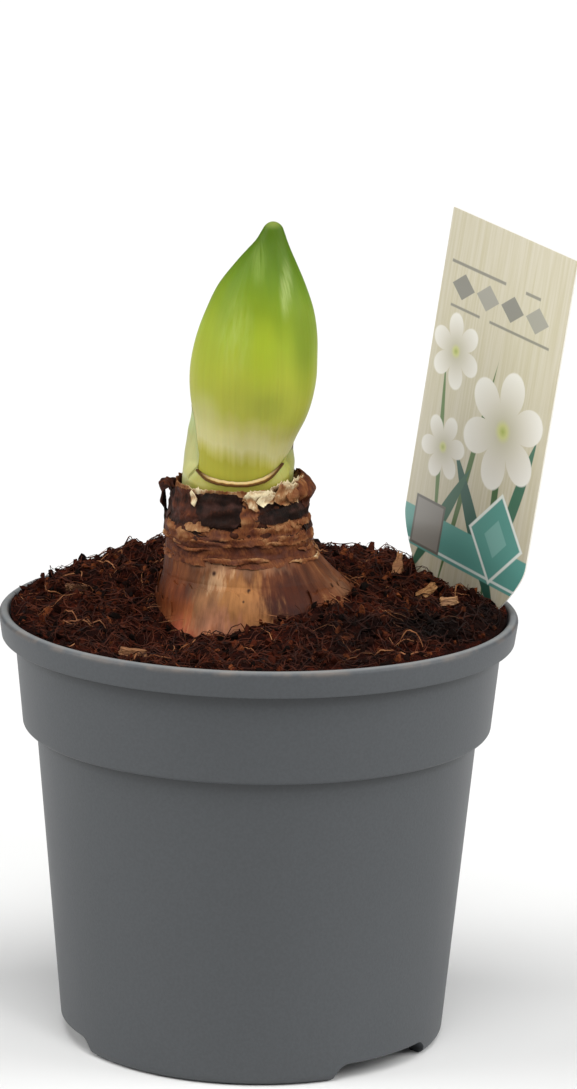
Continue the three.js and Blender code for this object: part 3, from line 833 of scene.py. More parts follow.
def crumbs(mix, rng):
    """Loose crumbs of peat and coir pith, lying in the top of the mix."""
    shapes = []
    for _ in range(CRUMB_SHAPES):
        lump = bmesh.new()
        lump.verts.layers.float.new("tone")
        bmesh.ops.create_icosphere(lump, subdivisions=1, radius=0.5)
        for v in lump.verts:
            v.co *= rng.uniform(0.65, 1.3)
        shapes.append(bpy.data.meshes.new("crumb"))
        lump.to_mesh(shapes[-1])
        lump.free()
    bm = bmesh.new()
    bm.verts.layers.float.new("tone")
    made = 0
    while made < mix.crumbs:
        spot = anywhere(rng)
        size = lerp(CRUMB_SMALLEST, CRUMB_LARGEST, rng.random() ** 2.6)
        if not open_mix(spot.x, spot.y, 0.35 * size):
            continue
        made += 1
        spot.z = mix_surface(spot.x, spot.y) + size * rng.uniform(-0.15, 0.3)
        turn = Euler([rng.uniform(0, math.tau) for _ in range(3)]).to_matrix().to_4x4()
        stretch = Matrix.Diagonal((size * rng.uniform(1, 1.9), size, size * rng.uniform(0.5, 0.9), 1))
        place = Matrix.Translation(spot) @ turn @ stretch
        shape = rng.choice(shapes)
        shape.transform(place)
        shape.attributes["tone"].data.foreach_set("value", [rng.random()] * len(shape.vertices))
        bm.from_mesh(shape)
        shape.transform(place.inverted())
    return bm


def strand(rng, x, y, length, lift):
    """One fibre as a wandering line of points on the mix, which may arch off it."""
    heading, bend = rng.uniform(0, math.tau), rng.gauss(0, STRAND_CURL)
    step = length / STRAND_STEPS
    points = []
    for k in range(STRAND_STEPS + 1):
        if not open_mix(x, y, 0.2):
            break
        z = mix_surface(x, y) + 0.25 + lift * math.sin(math.pi * k / STRAND_STEPS)
        points.append((x, y, z))
        heading += bend * step + rng.gauss(0, 0.22)
        x += math.cos(heading) * step
        y += math.sin(heading) * step
    return points


def strands_mesh(strands):
    """Round strands with thin ends, from lists of points and thicknesses."""
    curve = bpy.data.curves.new("strands", "CURVE")
    curve.dimensions = "3D"
    curve.bevel_depth = 1
    curve.bevel_resolution = 0
    curve.use_fill_caps = True
    for points, thickness in strands:
        spline = curve.splines.new("POLY")
        spline.points.add(len(points) - 1)
        for k, (point, place) in enumerate(zip(spline.points, points)):
            point.co = (*place, 1)
            part = k / (len(points) - 1)
            point.radius = thickness / 2 * (0.35 + 0.65 * math.sin(math.pi * lerp(0.06, 0.94, part)))
    bm = evaluated(linked("strands", curve))
    bpy.data.curves.remove(curve)
    bmesh.ops.remove_doubles(bm, verts=bm.verts, dist=0.0001)
    return bm


def coir(rng, count, length, thickness):
    """Curled coir fibres lying in the top of the mix."""
    strands = []
    while len(strands) < count:
        spot = anywhere(rng)
        lift = abs(rng.gauss(0, 0.7)) + (rng.uniform(1, 3) if rng.random() < 0.06 else 0)
        points = strand(rng, spot.x, spot.y, rng.uniform(*length), lift)
        if len(points) > 4:
            strands.append((points, rng.uniform(*thickness)))
    return strands


def leaning(rng, count):
    """Short fibres that lean against the foot of the bulb."""
    strands = []
    for _ in range(count):
        degrees = rng.uniform(-180, 180)
        seat = mix_seat(degrees)
        foot = seat + around(degrees) * rng.uniform(1, 4)
        foot.z = mix_surface(foot.x, foot.y)
        z = seat.z + 2.2 * rng.random() ** 2
        head = on_bulb(degrees + rng.gauss(0, 14), z, 0.8)
        bend = around(degrees) * rng.gauss(0.6, 0.8) + Vector((0, 0, rng.uniform(0, 1)))
        points = [foot.lerp(head, k / 8) + bend * math.sin(math.pi * k / 8) for k in range(9)]
        strands.append((points, rng.uniform(0.1, 0.22)))
    return strands


# Damp peat from its hollows to its crowns, single crumbs from wet to dry, and patches of painted shade on
# the mix.
PEAT_SHADES = ((0.3, "0a0302"), (0.5, "1d0805"), (0.62, "361208"), (0.78, "4d1c0e"))
CRUMB_SHADES = ((0.1, "0b0402"), (0.5, "260d06"), (0.85, "441a0c"), (0.985, "703c20"))
SHADE_PATCHES = (
    ((23, -31, 111), (15, 15, 40), 0.65, "060201"),
    ((43, -26, 111), (18, 18, 40), 0.92, "060201"),
    ((57, -12, 111), (11, 18, 40), 0.85, "060201"),
    ((22, -50, 111), (18, 12, 40), 0.45, "060201"),
    ((-42, -27, 111), (20, 15, 40), 0.35, "060201"),
)


def damp_peat(mix):
    """Damp peat and coir pith, sieved: crumbly and almost without sheen, near black in its hollows and
    fox-red on the dry crowns."""

    def build(tree):
        place = in_millimetres(tree)
        broad = grain(tree, place, 5, detail=4)
        fine = grain(tree, place, 0.5, detail=3, offset=3)
        mixed = blended(tree, 0.0, (broad, 0.6), (fine, 0.45))
        base = add(tree, "ValToRGB", {0: mixed}, stops=PEAT_SHADES)
        crowns = add(tree, "MapRange", {"Value": mixed, "From Min": 0.6, "From Max": 0.8})
        base = add(tree, "Mix", {"Factor": crowns, "A": base, "B": mix.peat}, data_type="RGBA")
        # Patches of painted shade darken the mix.
        base = patched(tree, place, base, SHADE_PATCHES)
        bump = add(tree, "Bump", {"Height": mixed, "Distance": 1.2 * MM})
        return {"Base Color": base, "Normal": bump}

    return finish_of("damp peat", build, Roughness=0.85, IOR=1.35, Specular_IOR_Level=0.1)


def peat_crumb():
    """Single crumbs of peat and pith: each has its own shade, from wet black to dry red-brown."""

    def build(tree):
        place = in_millimetres(tree)
        tone = add(tree, "Attribute", out="Fac", attribute_name="tone")
        fine = grain(tree, place, 0.6, detail=3)
        mixed = blended(tree, -0.17, (fine, 0.35), (tone, 1.0))
        base = add(tree, "ValToRGB", {0: mixed}, stops=CRUMB_SHADES)
        # Patches of painted shade darken the crumbs.
        base = patched(tree, place, base, SHADE_PATCHES)
        bump = add(tree, "Bump", {"Height": fine, "Distance": 0.4 * MM})
        return {"Base Color": base, "Normal": bump}

    return finish_of("peat crumb", build, Roughness=0.8, IOR=1.35, Specular_IOR_Level=0.12)


def coir_fibre(name, dark, light):
    """Coconut husk fibre, washed and chopped: smooth round strands with a dull sheen."""

    def build(tree):
        place = in_millimetres(tree)
        shade = grain(tree, place, 2.5, spread=(0.35, 0.65))
        base = add(tree, "Mix", {"Factor": shade, "A": dark, "B": light}, data_type="RGBA")
        # Patches of painted shade darken the fibres.
        return {"Base Color": patched(tree, place, base, SHADE_PATCHES)}

    return finish_of(name, build, Roughness=0.6, IOR=1.45, Specular_IOR_Level=0.15)


def make_mix(mix):
    rng = random.Random(MIX_SEED)
    finish_piece(mix_body(), "potting_mix_fill", damp_peat(mix), "potting_mix", "potting_mix", sharp=180)
    finish_piece(crumbs(mix, rng), "peat_crumbs", peat_crumb(), "potting_mix", sharp=50)
    brown = coir_fibre("coir fibre", "1a0804", "522411")
    strands = coir(rng, mix.fibres, *COIR_SIZE) + leaning(rng, COIR_LEANING)
    finish_piece(strands_mesh(strands), "coir_fibres", brown, "potting_mix")
    pale = coir_fibre("dry husk strand", "6a3a20", "a5714a")
    strands = [strand for husks in HUSKS for strand in coir(rng, *husks)] + leaning(rng, HUSKS_LEANING)
    finish_piece(strands_mesh(strands), "husk_strands", pale, "bark")


def bulb_relief(degrees, z):
    """How far the dry skin stands off the bulb's smooth shape: ribs that run up, and broad lumps."""
    spot = around(degrees) * 26
    ribs = 0.2 * wave(spot.x / 2.2, spot.y / 2.2, z / 24)
    lumps = 0.55 * wave(spot.x / 13, spot.y / 13, z / 16)
    return smoothstep(z, 52, 60) * smoothstep(z, 139, 132) * (ribs + lumps)


def bulb_body():
    """The bulb with its neck and the cup in it that holds the shoot."""
    foot, neck = BULB_RINGS[0], BULB_RINGS[-1]
    rows = [lerp(low, high, k / steps) for low, high, steps in BULB_ROWS for k in range(steps + 1)]
    outline = [(0, foot[0])] + [(ring_at(BULB_RINGS, z)[0], z) for z in rows]
    outline += [(neck[1] - 0.4, neck[0] + 0.4), (CUP_RADIUS, neck[0])]
    outline += [(CUP_RADIUS, CUP_FLOOR), (0, CUP_FLOOR)]
    bm = turned(outline, BULB_SLICES)
    for v in bm.verts:
        degrees, z, away = degrees_of(v.co), v.co.z, v.co.xy.length
        if away > 1 and (away > CUP_RADIUS + 0.2 or z < CUP_FLOOR):
            v.co += around(degrees) * bulb_relief(degrees, z)
        v.co.x += ring_at(BULB_RINGS, z)[1]
    return bm


def flake(start, end, foot, top, lift, seed):
    """A loose flap of the outermost dry skin, fast at its foot and torn along its top and sides."""

    def place(degrees, part, depth):
        tear = 1.5 * wave(degrees / 5, seed) + 0.8 * wave(degrees / 1.7, seed, 4)
        z = lerp(foot, top + tear, part)
        degrees += 3 * wave(z / 3, seed, 8)
        stand = lift * part**2 * (0.6 + wave(degrees / 14, seed, 2))
        thickness = 0.32 * smoothstep(part, 0, 0.2)
        return on_bulb(degrees, z, bulb_relief(degrees, z) + stand - 0.12 + depth * thickness), part

    columns, rows = round((end - start) / FLAKE_CELL[0]), round((top - foot) / FLAKE_CELL[1])
    return sheet(start, end, columns, rows, place)


def upright(tree, place, centre, radius):
    """Coordinates for fibres that run up a round piece: each place moved to this distance from its
    axis, with its own height. centre is how far the axis stands to the right of the pot's."""
    middle = (INTO_FRAME @ Vector((centre, 0, 0))) / MM
    away = add(tree, "VectorMath", {0: place, 1: middle}, operation="SUBTRACT")
    flat = add(tree, "VectorMath", {0: away, 1: (1, 1, 0)}, operation="MULTIPLY")
    flat = add(tree, "VectorMath", {0: flat}, operation="NORMALIZE")
    flat = add(tree, "VectorMath", {0: flat, "Scale": float(radius)}, operation="SCALE")
    return add(tree, "VectorMath", {0: place, 1: (0, 0, 1), 2: flat}, operation="MULTIPLY_ADD")


def dry_bulb_skin(bulb):
    """The dry outer skins of the bulb: fine fibres run up them, tan where they are worn thin, copper and
    rose where the live scale shows through, and dull but for a faint silky sheen."""

    def build(tree):
        place = in_millimetres(tree)
        along = upright(tree, place, *BULB_FIBRES)
        fibres = grain(tree, along, (0.9, 0.9, 9), detail=4, Roughness=0.6, Distortion=1.2)
        soft = grain(tree, along, (3.2, 3.2, 18), detail=3, offset=2, Distortion=0.6)
        blotches = grain(tree, place, (5, 5, 7), detail=5, offset=5)
        mixed = blended(tree, 0.0, (fibres, 0.22), (soft, 0.3), (blotches, 0.48))
        stops = ((0.36, "30150a"), (0.46, "542a14"), (0.54, "6f3d1f"), (0.64, "8c5a34"))
        base = add(tree, "ValToRGB", {0: mixed}, stops=stops)
        worn = add(tree, "MapRange", {"Value": mixed, "From Min": 0.58, "From Max": 0.7})
        base = add(tree, "Mix", {"Factor": worn, "A": base, "B": bulb.skin}, data_type="RGBA")
        streaks = {"From Min": 0.38, "From Max": 0.62, "To Min": 0.62, "To Max": 1.32}
        streaks = add(tree, "MapRange", {"Value": mixed, **streaks})
        stray = {"spread": (0.0, 1.0), "to": (-SKIN_STRAY, SKIN_STRAY), "Roughness": 0.6}
        stray = grain(tree, along, (1.8, 1.8, 7), detail=4, offset=11, **stray)
        strayed = add(tree, "VectorMath", {0: (1, 0.3, 0.5), "Scale": stray}, operation="SCALE")
        strayed = add(tree, "VectorMath", {0: place, 1: strayed}, operation="ADD")
        for degrees, z, size, amount, code in BULB_PATCHES:
            tint = add(tree, "VectorMath", {0: linear(code)[:3], "Scale": streaks}, operation="SCALE")
            base = patched(tree, strayed, base, [(on_bulb(degrees, z), size, amount, tint)])
        spots = [(on_bulb(*spot), (size, size, 1.3 * size), 1.0, "2c140b") for *spot, size in BULB_SPOTS]
        base = patched(tree, place, base, spots)
        rough = add(tree, "MapRange", {"Value": blotches, "To Min": 0.45, "To Max": 0.65})
        bump = add(tree, "Bump", {"Height": mixed, "Distance": 0.45 * MM})
        return {"Base Color": base, "Roughness": rough, "Normal": bump}

    return finish_of("dry bulb skin", build, IOR=1.4, Specular_IOR_Level=0.2)


# Light goes about 2 mm into live roots, leaves and buds.
FLESH = {"Subsurface_Weight": 0.1, "Subsurface_Scale": 2 * MM}


def fleshy_root(bulb):
    """Live roots and the basal plate: fleshy, off-white and waxy, with soil in their creases."""

    def build(tree):
        place = in_millimetres(tree)
        clean = grain(tree, place, 4, detail=4, spread=(0.38, 0.58))
        base = add(tree, "Mix", {"Factor": clean, "A": "8a6f4c", "B": bulb.root}, data_type="RGBA")
        creases = grain(tree, place, (1.5, 1.5, 0.5), offset=2)
        bump = add(tree, "Bump", {"Height": creases, "Distance": 0.3 * MM})
        return {"Base Color": base, "Normal": bump}

    return finish_of("fleshy root", build, Roughness=0.5, IOR=1.4, **FLESH)


def make_bulb(bulb):
    skin = dry_bulb_skin(bulb)
    finish_piece(bulb_body(), "bulb_body", skin, "bulb_skin", "bulb", sharp=60)
    flakes = [flake(*shape, seed) for seed, shape in enumerate(BULB_FLAKES)]
    finish_piece(joined(flakes), "bulb_flakes", skin, "bulb_skin", sharp=60)
    roots = bpy.data.objects["basal_roots"]
    roots.data.materials.clear()
    roots.data.materials.append(fleshy_root(bulb))


def crumple(degrees, z, seed):
    """How far dried paper stands off: level folds, upright pleats and a fine crinkle, in millimetres."""
    spot = around(degrees) * NECK_RADIUS
    folds = 0.6 * wave(spot.x / 8, spot.y / 8 + seed, z / 1.7)
    pleats = 0.5 * wave(spot.x / 2.6 + seed, spot.y / 2.6, z / 6)
    return folds + pleats + 0.16 * wave(spot.x / 1.1, spot.y / 1.1 + seed, z / 1.1)


def paper(tunic, shape, seed, bulge=0, tear=0.5, flare=0, curl=0, wander=0, slant=0, crease=1):
    """A torn piece of dry tunic on the neck. Its shape is the angles and heights that it spans, how far
    it stands off the bulb, and its tone. bulge is how far its middle swells, tear how ragged its edges
    are, flare and curl how far its top leans out and down, wander how far it strays up and down on its
    way round, slant how much it climbs for each degree, and crease how strongly it is crumpled."""
    start, end, foot, top, lift, tone = shape
    thickness = tunic.paper / MM
    taper = min(12, 0.2 * (end - start))

    def place(degrees, part, depth):
        low = foot + tear * (wave(degrees / 6, seed, 9) + 0.7 * wave(degrees / 1.8, seed, 13))
        high = top + tear * (wave(degrees / 7, seed, 1) + 0.9 * wave(degrees / 1.6, seed, 5))
        ends = smoothstep(min(degrees - start, end - degrees), 0, taper)
        z = lerp((low + high) / 2, lerp(low, high, part), lerp(0.3, 1, ends)) - curl * part**3
        z += wander * wave(degrees / 28, seed, 17) + slant * (degrees - (start + end) / 2)
        degrees += 3 * wave(z / 1.6, seed, 21)
        relief = crease * crumple(degrees, z, seed)
        away = lift + bulge * math.sin(math.pi * part) * ends + flare * part**2
        away += lerp(0.5, 1, ends) * relief + depth * thickness * lerp(1, 0.5, part)
        # Painted light and shade: the tone rises on the ridges of the crumple and falls in its folds.
        return on_bulb(degrees, z, away), tone + min(0.28 * relief, 0.14)

    columns = max(10, round((end - start) / PAPER_CELL[0]))
    rows = max(6, round((top - foot) / PAPER_CELL[1]))
    return sheet(start, end, columns, rows, place)


def papers(tunic, shapes, seed):
    """A torn piece for each shape in a list, as one mesh."""
    return joined([paper(tunic, shape, seed + k, **more) for k, (shape, more) in enumerate(shapes)])


def ribbons(count, foot, low, high, rng, tones):
    """Wrinkled rings of old tunic, one over the other, on a smoother skin that reaches to the foot."""
    shapes = [((-178, 178, foot, high, 0.15, tones[0]), {"tear": 0.3, "crease": 0.6})]
    for k in range(count):
        height = rng.uniform(0.6, 1.3)
        base = lerp(low, high - 0.6 * height, (k + rng.uniform(0.2, 0.8)) / count)
        start = rng.uniform(-178, 178)
        end = start + rng.uniform(45, 150)
        shape = (start, end, base, base + height, rng.uniform(0.3, 0.55), rng.uniform(*tones))
        shapes.append((shape, {"bulge": rng.uniform(0.1, 0.3), "tear": 0.3, "wander": 1.1}))
    return shapes


# Dried tunic by its tone, from weathered to freshly torn. The tone also rises on crumpled ridges and
# falls in the folds, as painted light and shade.
TUNIC_SHADES = (
    (0, "120906"),
    (0.25, "29150d"),
    (0.45, "532a1a"),
    (0.6, "774526"),
    (0.78, "a37850"),
    (0.95, "e2d2ac"),
)


def dried_tunic():
    """Dead outer scales of the bulb, dried to a brown paper: near black where they weathered, fox-brown
    in the folds, cream on the fresh tears, with fine upright veins and a dull sheen. Their tone is
    lighter on the ridges and darker in the folds, as painted light and shade."""

    def build(tree):
        skin = add(tree, "Attribute", out="Vector", attribute_name="skin")
        tone = add(tree, "Attribute", out="Fac", attribute_name="tone")
        place = in_millimetres(tree)
        veins = grain(tree, skin, (0.45, 7, 1), detail=4, Roughness=0.6)
        worn = grain(tree, place, (3.2, 3.2, 2.2), detail=5, offset=4)
        part = add(tree, "SeparateXYZ", {0: skin}, out="Z")
        torn = add(tree, "MapRange", {"Value": part, "From Min": 0.9, "From Max": 1.0, "To Max": 0.08})
        mixed = blended(tree, -0.425, (tone, 1.0), (worn, 0.55), (veins, 0.3), (torn, 1.0))
        base = add(tree, "ValToRGB", {0: mixed}, stops=TUNIC_SHADES)
        rosy = grain(tree, place, (5, 5, 2.5), offset=7, spread=(0.5, 0.7), to=(0.0, 0.55))
        dull = add(tree, "MapRange", {"Value": mixed, "From Min": 0.75, "From Max": 0.55})
        rosy = add(tree, "Math", {0: rosy, 1: dull}, operation="MULTIPLY")
        base = add(tree, "Mix", {"Factor": rosy, "A": base, "B": "54352e"}, data_type="RGBA")
        height = add(tree, "Math", {0: veins, 1: worn}, operation="ADD")
        bump = add(tree, "Bump", {"Height": height, "Distance": 0.35 * MM})
        rough = add(tree, "MapRange", {"Value": worn, "To Min": 0.45, "To Max": 0.7})
        return {"Base Color": base, "Roughness": rough, "Normal": bump}

    return finish_of("dried tunic", build, IOR=1.4, Specular_IOR_Level=0.15)


def make_tunic(tunic):
    rng = random.Random(TUNIC_SEED)
    skin = dried_tunic()
    middle, top = UPPER_BAND_FOOT, TUNIC_FOOT + 1.8
    upper = ribbons(tunic.ribbons, middle + 0.2, middle + 0.4, top, rng, (0.5, 0.72)) + BAND_SCRAPS
    lower = ribbons(tunic.ribbons // 2, middle - 1.8, middle - 1.6, middle + 0.6, rng, (0.52, 0.66))
    for name, slot, node, shapes in (
        ("collar_paper", "dark_tunic", "tunic_collar", COLLAR_PANELS),
        ("upper_band_paper", "brown_tunic", "tunic_band_upper", upper),
        ("lower_band_paper", "brown_tunic", "tunic_band_lower", lower),
        ("left_strip_paper", "dark_tunic", "tunic_strip_left", LEFT_STRIP),
        ("right_strip_paper", "brown_tunic", "tunic_strip_right", RIGHT_STRIP),
        ("neck_scale_paper", "dried_scale", "neck_scale", NECK_SCRAPS),
    ):
        finish_piece(papers(tunic, shapes, len(name)), name, skin, slot, node, sharp=50)


def bud_flatness(z):
    """How deep the bud is against its width: round at its foot, flatter where it swells."""
    return lerp(1, BUD_DEPTH, smoothstep(z, BUD_ROUND_BELOW, BUD_FLAT_ABOVE))


def bud_ribs(degrees, z):
    """The soft uneven ribs that run down the bud from its tip."""
    spot = around(degrees)
    broad = 0.32 * wave(2.1 * spot.x, 2.1 * spot.y, z / 70 + 4)
    fine = 0.05 * wave(9 * spot.x, 9 * spot.y, z / 50)
    return (broad + fine) * smoothstep(z, 152, 172) * smoothstep(z, 206.5, 192)


def hugging(degrees, z, away):
    """A point that stands off the shoot, at an angle round it and a height."""
    radius, centre = ring_at(BUD_RINGS, max(z, LEAF_HUG_HEIGHT))
    spot = around(degrees) * (radius + bud_ribs(degrees, z) + away)
    return Vector((spot.x + centre, spot.y * bud_flatness(z), z))


def leaf(start, end, tip_angle, spread, tip, thickness):
    """A short leaf that hugs the bud. Its edge is rounded and rises to a point, and above the others
    its edges run out thin against the bud."""

    def place(degrees, part, depth):
        edge = LEAF_RIM_HEIGHT + (tip - LEAF_RIM_HEIGHT) * hump(degrees, tip_angle, spread)
        z = lerp(LEAF_FOOT, edge + 0.3 * wave(degrees / 9, tip), part)
        thick = lerp(thickness, LEAF_EDGE_THICKNESS, smoothstep(z, LEAF_RIM_HEIGHT, 161))
        rim = smoothstep(min(degrees - start, end - degrees), 0, 34) * smoothstep(part, 1.04, 0.8)
        close = lerp(1, lerp(0.02, 1, rim), smoothstep(z, CUT_DIP + 0.4, CUT_DIP + 3.6))
        return hugging(degrees, z, close * (LEAF_GAP + depth * thick)), -1

    return sheet(start, end, round((end - start) / 2), LEAF_ROWS, place, across=3)


def cut_scale():
    """The scale in front of the bud. Its cut edge dips in front, slants, and closes to a crack at both
    ends, where the scale runs in under the leaves."""
    start, end = CUT_START - CUT_OVERLAP, CUT_END + CUT_OVERLAP

    def place(degrees, part, depth):
        side, rise = (CUT_START, CUT_RISE_LEFT) if degrees < 0 else (CUT_END, CUT_RISE_RIGHT)
        edge = CUT_DIP + rise * (degrees / side) ** 2 + 0.12 * wave(degrees / 5, 3)
        middle = smoothstep(abs(degrees / side), 1, 0.35)
        slant = lerp(0.35, -0.3, depth) * lerp(0.15, 1, middle)
        z = lerp(LEAF_FOOT, edge + slant, part)
        close = lerp(1, lerp(0.3, 1, middle), smoothstep(part, 0.86, 1))
        lip = 0.2 * middle * smoothstep(part, 0.96, 1) * depth
        sunk = 0.5 * smoothstep(abs(degrees / side), 1.02, 1.1) * depth
        away = close * (LEAF_GAP + depth * (LEAF_THICKNESS + 0.04)) + lip - sunk
        return hugging(degrees, z, away), depth if CUT_START < degrees < CUT_END else -1

    return sheet(start, end, CUT_COLUMNS, CUT_ROWS, place, CUT_ACROSS)


def bud_body():
    """The closed bud on its short scape."""
    foot, last = BUD_RINGS[0], BUD_RINGS[-1]
    rows = [lerp(foot[0], last[0], k / BUD_ROWS) for k in range(BUD_ROWS + 1)]
    outline = [(0, foot[0])] + [(ring_at(BUD_RINGS, z)[0], z) for z in rows]
    cap = arc((0, 0), 1, BUD_TIP_START, 90, 10)
    rim, low = cap[0]
    rise = (BUD_TIP_HEIGHT - last[0]) / (1 - low)
    outline += [(last[1] * radius / rim, last[0] + rise * (z - low)) for radius, z in cap[1:]]
    bm = turned(outline, BUD_SLICES)
    for v in bm.verts:
        z = v.co.z
        if v.co.xy.length > 1:
            degrees = degrees_of(v.co)
            v.co += around(degrees) * bud_ribs(degrees, z)
        v.co.y *= bud_flatness(z)
        v.co.x += ring_at(BUD_RINGS, z)[1]
    return bm


# The bud's shades from its foot to its tip, and patches on the bud and on the leaves: place, size,
# strength and colour. Among them are painted highlights on the bud and on the left leaf's edge, and a
# painted shadow on the bud below its swell.
BUD_SHADED_FROM = 150.65
BUD_SHADED_HEIGHT = 60
BUD_SHADES = (
    (0.0, "a19d38"),
    (0.03, "b0aa58"),
    (0.07, "c0ba80"),
    (0.115, "beb879"),
    (0.16, "b2ad60"),
    (0.22, "a6a743"),
    (0.4, "a2aa38"),
    (0.53, "94a531"),
    (0.65, "7b9023"),
    (0.78, "69851e"),
    (0.88, "5b7817"),
    (1.0, "48640c"),
)
BUD_PATCHES = (
    # A painted shadow: olive, on the front of the bud below its swell.
    ((1.5, -13, 163), (7, 8, 5), 0.35, "828c32"),
    ((-15, -9, 160), (7, 9, 8), 0.42, "c0be86"),
    ((0, -12, 176), (5, 6, 13), 0.5, "a2b22c"),
    ((11, -9, 180), (6, 9, 19), 0.75, "6d8226"),
    ((-13, -7, 176), (7, 9, 15), 0.4, "8b9630"),
    ((1.5, -1, 207.6), (5, 6, 2.4), 0.6, "8f9c4e"),
)
# Painted highlights on the bud.
HIGHLIGHT_PATCHES = (
    ((5.4, -9, 193), (2.2, 8, 11), 0.7, "b9c67e"),
    ((-1.6, -8, 199), (2.8, 8, 8), 0.5, "9db35c"),
    ((-7, -12, 181), (6, 8, 14), 0.4, "b0bf6c"),
)
LEAF_PATCHES = (
    ((8, -8, 147), (8, 11, 9), 0.75, "98973c"),
    ((-5, -14, 142), (22, 14, 7), 1.0, "9d983f"),
    ((-15, -9, 142.5), (6, 8, 4), 0.7, "958f3c"),
    ((5, -12, 143), (9, 9, 4), 0.6, "979239"),
    # A painted highlight on the left leaf's edge.
    ((-20, -2, 158), (6, 9, 6), 0.6, "b8cd92"),
    ((-19, -4, 148), (5, 9, 9), 0.6, "bcb87a"),
    ((8.3, -1, 151.3), (2.2, 5, 1.3), 1.0, "33240f"),
)


def waxy_spathe(shoot):
    """The spathe that closes the bud: living skin under a fine coat of wax, so smooth and softly shining,
    green at the tip, yellow-green where it swells and cream where the light has not reached it, with
    streaks of painted highlight on its upper part and a patch of painted shade below its swell."""

    def build(tree):
        place = in_millimetres(tree)
        height = add(tree, "VectorMath", {0: place, 1: (0.22, 0, 1)}, out="Value", operation="DOT_PRODUCT")
        along = upright(tree, place, *BUD_FIBRES)
        veins = grain(tree, along, (0.9, 0.9, 50), detail=4, Roughness=0.55)
        broad = grain(tree, along, (6, 6, 26), offset=3)
        height = blended(tree, height, (veins, 2.5), (broad, 8.0))
        part = {"From Min": BUD_SHADED_FROM, "From Max": BUD_SHADED_FROM + BUD_SHADED_HEIGHT}
        part = add(tree, "MapRange", {"Value": height, **part})
        base = add(tree, "ValToRGB", {0: part}, stops=BUD_SHADES)
        tip = add(tree, "MapRange", {"Value": height, "From Min": 192.2, "From Max": 210.7, "To Max": 0.8})
        base = add(tree, "Mix", {"Factor": tip, "A": base, "B": shoot.tip}, data_type="RGBA")
        # The bud's patches include a painted shadow below its swell.
        base = patched(tree, place, base, BUD_PATCHES)
        streaks = {"From Min": 0.3, "From Max": 0.7, "To Min": 0.96, "To Max": 1.035}
        streaks = add(tree, "MapRange", {"Value": veins, **streaks})
        base = add(tree, "VectorMath", {0: base, "Scale": streaks}, operation="SCALE")
        # Painted highlights, broken up into streaks over the bud.
        highlight_streaks = grain(tree, along, (1.1, 1.1, 6), detail=3, offset=5, spread=(0.3, 0.75))
        highlighted = patched(tree, place, base, HIGHLIGHT_PATCHES)
        base = add(tree, "Mix", {"Factor": highlight_streaks, "A": base, "B": highlighted}, data_type="RGBA")
        rough = add(tree, "MapRange", {"Value": broad, "To Min": 0.35, "To Max": 0.52})
        bump = add(tree, "Bump", {"Height": veins, "Distance": 0.1 * MM})
        return {"Base Color": base, "Roughness": rough, "Normal": bump}

    return finish_of("waxy spathe", build, IOR=1.4, Specular_IOR_Level=0.16, **FLESH)


def young_leaf(shoot):
    """Young leaves and the cut scale: fleshy and pale green with fine upright veins, olive in front, with
    a cut face that dried to cream and a brown line where it curls."""

    def build(tree):
        place = in_millimetres(tree)
        skin = add(tree, "Attribute", out="Vector", attribute_name="skin")
        depth = add(tree, "Attribute", out="Fac", attribute_name="tone")
        veins = grain(tree, skin, (0.6, 30, 50), detail=3)
        broad = grain(tree, place, (4, 4, 9))
        mixed = add(tree, "Math", {0: broad, 1: veins}, operation="MULTIPLY")
        mixed = add(tree, "MapRange", {"Value": mixed, "From Min": 0.15, "From Max": 0.36})
        base = add(tree, "Mix", {"Factor": mixed, "A": "93945a", "B": shoot.leaf}, data_type="RGBA")
        # The leaves' patches include a painted highlight on the left leaf's edge.
        base = patched(tree, place, base, LEAF_PATCHES)
        part = add(tree, "SeparateXYZ", {0: skin}, out="Z")
        edge = add(tree, "MapRange", {"Value": part, "From Min": 0.975, "From Max": 0.99})
        is_cut = add(tree, "Math", {0: depth, 1: -0.5}, operation="GREATER_THAN")
        edge = add(tree, "Math", {0: edge, 1: is_cut}, operation="MULTIPLY")
        across = add(tree, "Math", {0: add(tree, "SeparateXYZ", {0: skin}, out="X")}, operation="ABSOLUTE")
        dried = add(tree, "MapRange", {"Value": across, "From Min": 10.0, "From Max": 17.0})
        stops = ((0.0, "7c6236"), (0.14, "c4ad7c"), (0.5, "bfa474"), (0.64, "7c5528"), (0.8, "4e3016"))
        cut = add(tree, "ValToRGB", {0: depth}, stops=stops)
        cut = add(tree, "Mix", {"Factor": dried, "A": cut, "B": "4a2d14"}, data_type="RGBA")
        base = add(tree, "Mix", {"Factor": edge, "A": base, "B": cut}, data_type="RGBA")
        bump = add(tree, "Bump", {"Height": veins, "Distance": 0.1 * MM})
        return {"Base Color": base, "Normal": bump}

    return finish_of("young leaf", build, Roughness=0.42, IOR=1.4, Specular_IOR_Level=0.3, **FLESH)


def make_shoot(shoot):
    green = young_leaf(shoot)
    for node, shape in LEAVES.items():
        finish_piece(leaf(*shape), node + "_skin", green, "young_leaf", node, sharp=60)
    finish_piece(cut_scale(), "cut_scale", green, "green_scale", "front_scale", sharp=60)
    finish_piece(bud_body(), "bud_body", waxy_spathe(shoot), "bud_spathe", "flower_bud", sharp=60)


